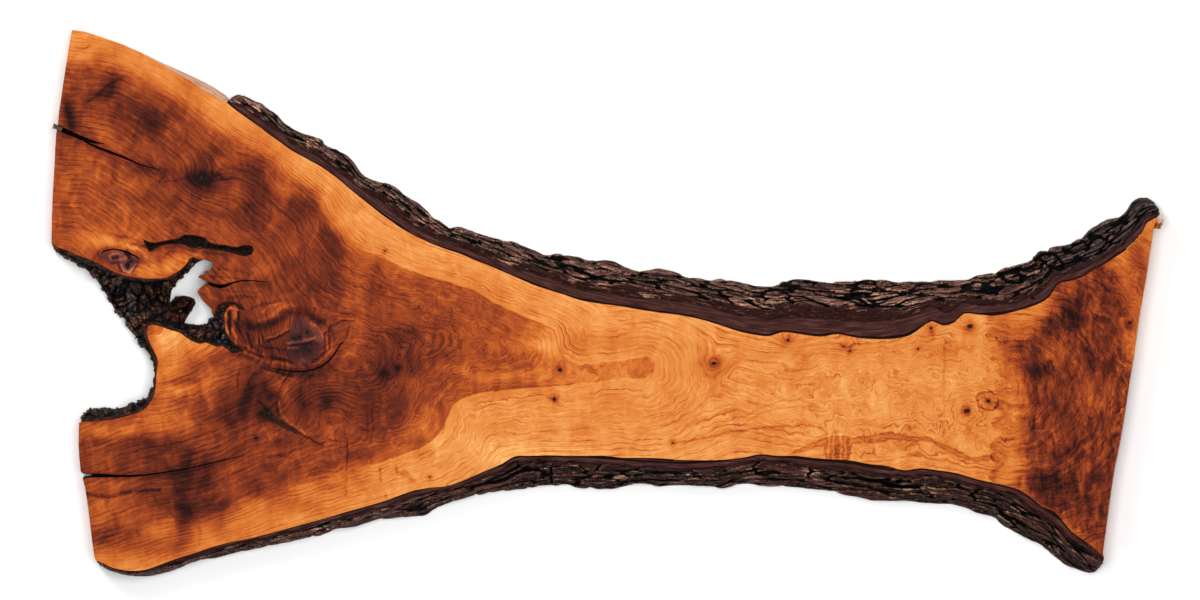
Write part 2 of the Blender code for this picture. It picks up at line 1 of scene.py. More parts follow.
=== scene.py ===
# %% [markdown]
# A live-edge walnut slab, dressed for its portrait. The sawn solids come first: they say where the wood,
# the bark and the cracks are, and everything made here is fitted to them. All lengths are in metres
# unless a name says millimetres, and marks on the wood are placed by the photograph's pixels, 2 mm each.
# The noise gets one fixed seed, so the slab comes out the same every time.

# %% Load the sawn solids
import math

import bmesh
import bpy
import numpy as np
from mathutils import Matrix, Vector, noise
from mathutils.bvhtree import BVHTree


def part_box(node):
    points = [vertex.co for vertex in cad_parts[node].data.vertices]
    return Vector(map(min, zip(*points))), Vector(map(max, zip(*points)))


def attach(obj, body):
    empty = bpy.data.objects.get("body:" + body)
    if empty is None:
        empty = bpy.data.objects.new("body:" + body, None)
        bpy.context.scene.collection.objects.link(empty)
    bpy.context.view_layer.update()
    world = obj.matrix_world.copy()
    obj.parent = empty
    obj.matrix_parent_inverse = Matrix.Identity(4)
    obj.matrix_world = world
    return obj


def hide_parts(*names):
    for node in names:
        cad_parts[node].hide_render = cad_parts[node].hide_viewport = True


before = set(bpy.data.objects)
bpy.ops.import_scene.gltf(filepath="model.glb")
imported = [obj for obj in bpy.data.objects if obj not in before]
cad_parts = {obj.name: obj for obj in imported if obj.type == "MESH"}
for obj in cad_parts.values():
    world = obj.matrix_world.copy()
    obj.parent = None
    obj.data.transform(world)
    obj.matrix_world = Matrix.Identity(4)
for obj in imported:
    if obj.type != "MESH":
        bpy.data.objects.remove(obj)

MM = 0.001
PIXEL = 2.0 * MM
NOISE_SEED = 5
noise.seed_set(NOISE_SEED)
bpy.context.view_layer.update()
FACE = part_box("walnut_wood")[1].z
print("upper face at", round(FACE / MM, 2), "mm")

# %% [markdown]
# The photograph looks straight down on the slab. One pixel is 2 mm, so a mark seen at some pixel has a
# place on the wood. `at` turns a pixel into metres and `pixels_of` goes the other way for many points.
# Doing it in one place keeps every list of marks short and easy to compare with the picture.

# %% Places read from the photograph
PHOTO_LEFT, PHOTO_TOP = -1.212, 0.606       # where the picture's upper left corner lies, in metres


def at(px, py):
    """The place on the slab, in metres, of a point in the photograph."""
    return px * PIXEL + PHOTO_LEFT, PHOTO_TOP - py * PIXEL


def pixels_of(points):
    """Where points of the slab stand in the photograph, as two arrays."""
    return (points[:, 0] - PHOTO_LEFT) / PIXEL, (PHOTO_TOP - points[:, 1]) / PIXEL


print("image centre lies at", [round(value, 3) for value in at(600, 300)])

# %% [markdown]
# Marks on wood are points, lines and outlines. Three small measures serve them all: how far a point is
# from a line, how far along the line it is, and whether it is inside an outline. numpy does them for every
# vertex at once, which is much quicker than a loop over vertices.

# %% Measure distances to lines and outlines
def flowing(points, step):
    """Points about step apart on a smooth curve through the given ones."""
    curve = []
    last = len(points) - 1
    for index in range(last):
        four = (max(index - 1, 0), index, index + 1, min(index + 2, last))
        a, b, c, d = (np.array(points[place], float) for place in four)
        count = max(1, round(float(np.hypot(*(c - b)[:2])) / step))
        for part in range(count):
            t = part / count
            curve.append(0.5 * (2 * b + (c - a) * t + (2 * a - 5 * b + 4 * c - d) * t ** 2
                                + (3 * b - a - 3 * c + d) * t ** 3))
    curve.append(np.array(points[-1], float))
    return curve


def line_distance(x, y, line):
    """Distance to a line of points, and how far along the line its nearest place is."""
    best, along, done = np.full(x.shape, np.inf), np.zeros(x.shape), 0.0
    for start, end in zip(line, line[1:]):
        way_x, way_y = end[0] - start[0], end[1] - start[1]
        length = math.hypot(way_x, way_y) + 1e-12
        share = np.clip(((x - start[0]) * way_x + (y - start[1]) * way_y) / length ** 2, 0.0, 1.0)
        distance = np.hypot(x - start[0] - share * way_x, y - start[1] - share * way_y)
        nearer = distance < best
        best = np.where(nearer, distance, best)
        along = np.where(nearer, done + share * length, along)
        done += length
    return best, along


def depth_inside(x, y, outline):
    """Distance to a closed outline, positive inside it and negative outside."""
    closed = list(outline) + [outline[0]]
    distance, _ = line_distance(x, y, closed)
    inside = np.zeros(x.shape, bool)
    for start, end in zip(closed, closed[1:]):
        spans = (start[1] > y) != (end[1] > y)
        rise = end[1] - start[1] if end[1] != start[1] else 1e-12
        inside ^= spans & (x < start[0] + (end[0] - start[0]) * (y - start[1]) / rise)
    return np.where(inside, distance, -distance)


def ramp(value, low, high):
    """0 below low, 1 above high, and smooth in between."""
    share = np.clip((value - low) / (high - low), 0.0, 1.0)
    return share * share * (3.0 - 2.0 * share)


print("measures are ready")

# %% [markdown]
# A CAD solid arrives as loose triangles. A copy whose shared corners are merged can be cut, subdivided
# and displaced, while the solid itself stays as it was. Each finished copy then stands for its solid.

# %% Copy a solid and hand a finished piece over
def merged_copy(node, name):
    """A new object with the solid's shape, its shared corners merged."""
    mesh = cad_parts[node].data.copy()
    mesh.materials.clear()
    bm = bmesh.new()
    bm.from_mesh(mesh)
    bmesh.ops.remove_doubles(bm, verts=bm.verts, dist=0.001 * MM)
    bm.to_mesh(mesh)
    bm.free()
    piece = bpy.data.objects.new(name, mesh)
    bpy.context.scene.collection.objects.link(piece)
    return piece


def hand_over(piece, node):
    """The piece rides with the slab, takes the solid's place and tells its share of the triangles."""
    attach(piece, "root")
    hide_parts(node)
    print(piece.name, sum(len(face.vertices) - 2 for face in piece.data.polygons), "triangles")


def read_rows(items, name):
    """A vector of each vertex or face, as an array of rows."""
    flat = np.empty(3 * len(items), np.float32)
    items.foreach_get(name, flat)
    return flat.reshape(-1, 3).astype(float)


def vertex_places(mesh):
    """All vertex places of a mesh as an array of rows."""
    return read_rows(mesh.vertices, "co")


def paint_values(mesh, **named):
    """Keep one number per vertex under each name, so that a material can read them."""
    for name, values in named.items():
        layer = mesh.attributes.new(name, "FLOAT", "POINT")
        layer.data.foreach_set("value", np.asarray(values, np.float32))


print("solids:", sorted(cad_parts))

# %% [markdown]
# The wood's upper face is one flat sheet of a few long triangles. The figure of the wood needs a value
# every few millimetres, so the solid is crossed with a block whose upper side is a fine grid. The Boolean
# keeps the exact outline, the cracks and the hole, and leaves the walls and underside coarse.

# %% Dice the upper face of the wood
GRID = 4.8 * MM
MARGIN = 10.0 * MM
SUNK = 0.05 * MM        # the grid lies this little under the sawn face, so that the two never coincide


def gridded_block(low, high, top):
    """A block round the slab, with a fine grid on its upper side."""
    width, depth = high.x - low.x + 2 * MARGIN, high.y - low.y + 2 * MARGIN
    bm = bmesh.new()
    bmesh.ops.create_grid(bm, x_segments=round(width / GRID), y_segments=round(depth / GRID), size=0.5)
    bmesh.ops.scale(bm, vec=(width, depth, 1.0), verts=bm.verts)
    bmesh.ops.translate(bm, vec=((low.x + high.x) / 2, (low.y + high.y) / 2, top), verts=bm.verts)
    rim = [edge for edge in bm.edges if edge.is_boundary]
    skirt = bmesh.ops.extrude_edge_only(bm, edges=rim)["geom"]
    for item in skirt:
        if isinstance(item, bmesh.types.BMVert):
            item.co.z = -MARGIN
    bmesh.ops.holes_fill(bm, edges=[edge for edge in bm.edges if edge.is_boundary])
    bmesh.ops.recalc_face_normals(bm, faces=bm.faces)
    mesh = bpy.data.meshes.new("grid block")
    bm.to_mesh(mesh)
    bm.free()
    block = bpy.data.objects.new("grid_block", mesh)
    bpy.context.scene.collection.objects.link(block)
    return block


wood = merged_copy("walnut_wood", "figured_wood")
block = gridded_block(*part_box("walnut_wood"), FACE - SUNK)
crossing = wood.modifiers.new("dice", "BOOLEAN")
crossing.operation, crossing.solver, crossing.object = "INTERSECT", "MANIFOLD", block
diced = bpy.data.meshes.new_from_object(wood.evaluated_get(bpy.context.evaluated_depsgraph_get()))
wood.modifiers.clear()
wood.data = diced
bpy.data.objects.remove(block)
diced.materials.clear()
print("diced wood has", len(diced.vertices), "vertices")

# %% [markdown]
# Walnut heartwood is brown and its sapwood is pale. Sawn through a fork, the heart shows as a long tongue
# that runs out to a point where the saw leaves it, and it shows again at the butt. Both are drawn as closed
# outlines. A thin red streak, the pith's edge, prolongs the tongue.

# %% Outline the heartwood
HEART = [
    (-90, 20), (72, 60), (100, 60), (130, 67), (160, 82), (190, 102), (215, 122), (241, 142), (260, 149),
    (276, 158), (290, 174), (306, 186), (322, 201), (336, 222), (348, 241), (362, 250), (383, 258),
    (403, 268), (424, 276), (444, 281), (475, 291), (495, 304), (526, 318), (542, 324), (554, 330),
    (557, 337), (559, 351), (566, 360), (574, 366), (582, 374), (573, 384), (548, 386), (510, 389),
    (482, 392), (462, 398), (452, 406), (446, 418), (442, 430), (431, 441), (420, 448), (401, 455),
    (388, 459), (370, 465), (346, 473), (322, 479), (301, 485), (270, 495), (241, 509), (203, 522),
    (156, 530), (129, 540), (98, 550), (-90, 580),
]
STREAK = [
    (516, 316), (542, 324), (554, 330), (557, 337), (559, 351), (569, 361), (578, 365), (599, 364),
    (624, 360), (647, 356.5), (655.5, 361.6), (654.4, 371.7), (644, 379), (624, 378), (599, 382),
    (573, 384), (548, 386), (516, 389),
]
BUTT_HEART = [
    (1036, 324), (1048, 306), (1052, 284), (1076, 262), (1104, 244), (1112, 262), (1119, 282), (1127, 335),
    (1133, 362), (1230, 366), (1230, 640), (1090, 560), (1030, 500), (1017, 486), (1023, 464), (1020, 430),
    (1022, 400), (1018, 375), (1014, 350), (1022, 330),
]
CAP_LINE = [
    (988, 300), (988, 329), (986, 342), (991, 350), (990, 357), (995, 364), (993, 371), (997, 379),
    (995, 390), (999, 400), (997, 412), (993, 424), (996, 434), (993, 446), (995, 460), (992, 476),
]
print("heart outline of", len(HEART), "points and butt outline of", len(BUTT_HEART))

# %% [markdown]
# The bark's inner edge matters as much as the heart's outline, because the youngest rings run along it.
# Each row is a place on that edge in pixels and the width of the flat, sawn band of bark there. The upper
# limb's first quarter has lost its bark, and its bare edge is a line of its own.

# %% Trace where bark and wood meet
BARE_LINE = [(72, 30), (84, 32), (100, 37), (126, 46), (150, 58), (176, 71), (200, 85), (227, 102)]
UPPER_LINE = [
    (227, 102, 2), (240, 113, 11), (252, 121, 12), (262, 128, 12), (271, 135, 12), (281, 142, 12),
    (292, 150, 12), (304, 157, 12), (313, 162, 12), (321, 166, 12), (332, 174, 12), (341, 181, 13),
    (350, 189, 14), (360, 197, 15), (372, 206, 16), (392, 221, 16), (412, 234, 14), (433, 244, 12),
    (460, 253, 12), (488, 265, 13), (516, 277, 16), (548, 289, 20), (580, 300, 20), (620, 306, 20),
    (660, 312, 22), (700, 319, 25), (738, 331, 29), (769, 336, 31), (800, 334, 32), (840, 339, 33),
    (875, 339, 33), (905, 335, 30), (921, 327, 27), (932, 321, 25), (943, 325, 23), (955, 322, 20),
    (964, 313, 18), (980, 314, 16), (1012, 312, 14), (1041, 302, 15), (1050, 296, 15), (1058, 284, 15),
    (1069, 281, 14), (1082, 277, 13), (1102, 265, 12), (1122, 252, 11), (1131, 245, 11), (1138, 238, 10),
    (1143, 231, 10), (1147, 222, 9), (1152, 219, 8), (1157, 217, 6), (1160, 213, 2),
]
LOWER_LINE = [
    (96, 560, 1), (104, 564, 2), (114, 568, 2), (130, 571, 3), (145, 570, 3), (160, 565, 4), (176, 559, 4),
    (192, 554, 4), (210, 548, 5), (230, 542, 5), (270, 533, 6), (310, 522, 7), (350, 511, 7), (385, 501, 8),
    (415, 490, 9), (436, 486, 9), (460, 482, 9), (488, 470, 9), (515, 456, 10), (530, 455, 10),
    (571, 456, 10), (605, 458, 10), (640, 461, 10), (680, 463, 10), (722, 461, 10), (760, 454, 10),
    (795, 458, 10), (850, 463, 10), (890, 470, 10), (920, 468, 11), (955, 473, 11), (988, 482, 11),
    (1018, 489, 11), (1042, 507, 12), (1063, 521, 12), (1072, 532, 11), (1092, 546, 10), (1104, 558, 5),
]
print("bark edges of", len(UPPER_LINE), "and", len(LOWER_LINE), "marks")

# %% [markdown]
# Broad shades come next: places where the wood is darker or lighter than its surroundings. Each row is a
# soft oval: its centre, its two half widths, its turn in degrees and how much darker (or lighter, when
# negative) it makes the wood. The eye reads a slab by these patches before it sees any grain.

# %% Lay out the broad shades
SHADES = [
    # upper limb
    (103, 90, 24, 7, 35, 0.20), (67, 113, 6, 17, 5, 0.30), (92, 66, 26, 9, 10, 0.08),
    (136, 112, 34, 17, -35, 0.15), (150, 128, 16, 10, -40, 0.08), (104, 134, 24, 10, -45, -0.10),
    (92, 185, 60, 34, -10, -0.07), (120, 225, 70, 18, -4, -0.06), (203, 178, 30, 12, 0, 0.20),
    (143, 172, 12, 6, 0, 0.14), (257, 176, 15, 30, 0, 0.22), (256, 210, 12, 20, 0, 0.10),
    (307, 203, 15, 20, 20, 0.20), (214, 152, 14, 8, -10, 0.12), (190, 120, 26, 12, -35, 0.04),
    (285, 190, 16, 8, -40, -0.10), (292, 215, 12, 16, 20, 0.10), (180, 205, 40, 8, -12, 0.06),
    # gold lips of the crotch
    (112, 243, 34, 12, -8, -0.20), (150, 272, 26, 10, 10, -0.19), (182, 266, 22, 14, 10, -0.16),
    (90, 250, 20, 14, 0, -0.12), (172, 325, 18, 16, 0, -0.28), (168, 352, 20, 24, 0, -0.30),
    (196, 342, 22, 14, 0, -0.22), (176, 384, 28, 14, 0, -0.19), (214, 348, 14, 8, 0, -0.12),
    (157, 422, 18, 12, 0, -0.19), (182, 420, 14, 14, 0, -0.13), (108, 428, 34, 9, 0, -0.20),
    (214, 376, 16, 10, 0, -0.15), (165, 400, 22, 14, 0, -0.14),
    # between the limbs and the swirl
    (188, 378, 18, 5, 10, 0.24), (170, 383, 12, 4, 0, 0.14), (258, 405, 18, 18, 0, 0.12),
    (230, 415, 8, 26, 8, 0.08), (250, 380, 14, 12, 0, 0.10), (272, 400, 14, 10, -30, 0.12),
    (328, 390, 16, 14, 0, 0.08), (324, 402, 5, 8, 0, 0.16), (300, 398, 8, 14, 10, 0.18),
    (332, 245, 14, 20, 0, 0.22), (322, 282, 15, 14, 10, 0.18), (300, 262, 18, 12, 30, 0.08),
    (375, 272, 8, 22, -10, 0.10), (352, 300, 10, 12, 0, -0.08), (365, 320, 12, 16, 10, -0.08),
    (352, 345, 14, 14, 0, -0.10), (400, 344, 26, 22, 20, 0.08), (384, 376, 22, 16, 30, 0.10),
    (420, 362, 20, 10, 20, 0.04), (405, 400, 20, 14, 30, 0.06), (372, 410, 20, 18, 20, 0.10),
    (358, 456, 14, 7, 0, 0.12), (438, 330, 18, 12, -20, 0.02), (480, 340, 24, 12, 0, -0.06),
    (515, 350, 30, 10, 0, -0.10), (540, 340, 16, 10, 0, -0.16), (470, 372, 40, 7, -4, -0.08),
    (520, 376, 40, 6, -3, -0.12), (430, 425, 8, 20, 25, -0.12), (290, 440, 18, 8, 0, 0.10),
    (225, 300, 20, 8, 0, 0.08), (235, 285, 30, 10, 0, -0.04),
    # lower limb
    (170, 452, 50, 12, -4, 0.09), (192, 456, 8, 12, 0, 0.10), (140, 446, 14, 8, 0, 0.10),
    (192, 478, 34, 13, 0, 0.20), (186, 520, 14, 24, 0, 0.26), (220, 508, 12, 12, 0, 0.16),
    (232, 474, 12, 16, 0, -0.08), (160, 496, 20, 8, 0, 0.06), (112, 505, 20, 16, 0, -0.10),
    (120, 545, 40, 12, 10, -0.08), (150, 526, 20, 12, 0, -0.08), (98, 530, 14, 24, 0, -0.06),
    (110, 480, 26, 8, 0, -0.06), (270, 470, 30, 10, -6, 0.06), (330, 462, 30, 8, -10, 0.02),
    (285, 498, 50, 16, -14, 0.19), (220, 520, 40, 16, -12, 0.19), (340, 482, 40, 12, -14, 0.14),
    (150, 545, 60, 16, -5, 0.24), (110, 545, 30, 18, 10, 0.12), (120, 50, 60, 18, 18, 0.06),
    (190, 92, 60, 16, 30, 0.07), (250, 130, 50, 14, 33, 0.05), (100, 520, 24, 30, 0, 0.02),
    (240, 535, 30, 8, -14, 0.06), (180, 500, 24, 20, 0, 0.06),
    # below and left of the swirled knot
    (246, 395, 9, 7, 20, 0.16), (242, 408, 6, 10, 0, 0.16), (260, 411, 8, 8, 0, 0.20),
    (268, 390, 8, 10, 0, 0.12), (226, 411, 7, 24, 6, 0.10), (300, 372, 40, 6, 0, 0.10),
    (246, 338, 16, 12, 0, 0.12), (300, 352, 20, 12, 0, 0.10), (316, 408, 26, 22, 0, 0.05),
    (240, 318, 12, 7, 0, 0.12), (265, 352, 18, 8, 10, 0.08), (305.6, 352, 9, 7, 0, 0.20),
    (285, 340, 42, 26, 0, 0.11), (365, 360, 40, 50, 0, 0.05), (180, 415, 24, 14, 0, 0.06),
    (1135, 262, 10, 20, 12, 0.05),
    # pale wood
    (600, 344, 40, 15, 0, 0.07), (580, 335, 22, 10, 20, 0.05), (515, 455, 60, 16, -10, -0.11),
    (700, 452, 90, 8, 0, -0.03), (640, 480, 80, 8, 0, -0.06), (560, 310, 60, 8, 20, -0.06),
    (420, 252, 60, 8, 25, -0.04), (470, 262, 60, 5, 24, 0.05), (600, 400, 60, 12, 0, 0.02),
    (690, 372, 34, 24, 0, 0.04), (725, 364, 24, 8, 10, 0.06), (820, 352, 60, 10, 0, 0.06),
    (940, 345, 40, 14, 0, 0.07), (1002, 400, 9, 70, 0, 0.12), (1012, 345, 12, 26, 0, 0.10),
    (900, 448, 50, 8, 5, 0.04), (970, 470, 40, 10, 12, 0.03), (764, 441, 6, 10, 5, 0.10),
    (650, 300, 50, 8, 10, 0.02), (780, 470, 120, 6, 0, -0.03), (860, 400, 60, 30, 0, -0.02),
    (250, 142, 40, 6, -36, 0.03), (180, 84, 50, 8, -28, 0.02), (320, 470, 20, 30, 0, 0.02),
    (236, 522, 14, 12, 0, -0.10), (1138, 262, 10, 44, 12, 0.20), (1150, 235, 14, 16, 30, 0.06),
    (1012, 465, 14, 16, 20, 0.05), (1006, 330, 14, 26, 0, 0.06), (560, 430, 70, 12, 0, 0.02),
    (640, 420, 60, 16, 0, 0.02), (900, 380, 50, 24, 0, 0.02), (800, 380, 50, 20, 0, 0.02),
    # butt
    (1062, 318, 16, 12, -20, 0.14), (1080, 312, 12, 20, -20, 0.16), (1040, 372, 10, 26, 0, 0.06),
    (970, 326, 5, 4, 0, 0.16), (931, 328, 3, 3, 0, 0.12), (1060, 420, 16, 30, 0, 0.10),
    (1046, 485, 16, 12, 0, 0.20), (1066, 452, 14, 12, 0, 0.12), (1094, 432, 12, 20, 0, 0.08),
    (1098, 350, 16, 30, 0, 0.06), (1130, 300, 12, 34, 10, 0.14), (1140, 280, 10, 30, 10, 0.02),
    (1088, 400, 12, 20, 0, -0.06), (1060, 530, 20, 16, 30, -0.06), (1110, 500, 10, 50, 12, 0.02),
    (1080, 470, 10, 16, 0, -0.04), (1074, 497, 20, 22, 30, 0.15), (1102, 512, 10, 26, 20, 0.06),
    (1120, 318, 15, 26, 10, 0.09), (1116, 372, 12, 30, 8, 0.05), (1060, 436, 18, 32, 0, -0.045),
]
print(len(SHADES), "broad shades")

# %% [markdown]
# Small knots are twigs cut across. Each has a dark core, a stained halo, and the growth rings bend round
# it. A row holds the centre, the core's two half widths, the halo's reach and how far it pushes the rings.

# %% Place the small knots
KNOTS = [
    (203, 178, 6.0, 4.6, 14, 16), (560, 370, 2.7, 1.5, 5, 5), (554.5, 399, 1.9, 2.4, 5, 5),
    (714, 363.5, 3.4, 1.7, 11, 12), (672.5, 443, 1.5, 0.9, 4, 3), (788, 340, 1.6, 1.8, 6, 6),
    (850, 351, 1.4, 1.2, 5, 5), (844, 346, 0.9, 0.8, 4, 3), (931, 328, 1.8, 1.5, 6, 7),
    (970, 326, 3.2, 2.2, 7, 9), (918, 349, 0.9, 1.4, 3, 3), (966.5, 411, 3.6, 2.6, 7, 14),
    (988, 401, 2.4, 1.8, 4, 16), (1130, 323, 1.9, 1.3, 5, 3), (1036, 371, 1.6, 1.8, 8, 3),
    (127, 265, 1.8, 2.0, 4, 2), (294, 338, 1.4, 1.2, 3, 0), (299, 337, 1.3, 1.1, 3, 0),
    (307, 332, 1.0, 1.8, 3, 0), (385, 373, 1.4, 1.0, 4, 2), (398, 368, 1.2, 1.0, 4, 2),
    (430, 477, 0.8, 0.8, 3, 0), (385, 251, 0.8, 0.8, 3, 0), (256, 438, 1.0, 1.6, 3, 0),
]
print(len(KNOTS), "small knots")

# %% [markdown]
# Marks with a direction are strokes: the fold lines round the swirled knot, a mineral streak, saw marks
# and small checks. A row holds the stroke's half width in pixels, how dark it is, and its points. Negative
# darkness draws a light line, as on the polished rims of the folds.

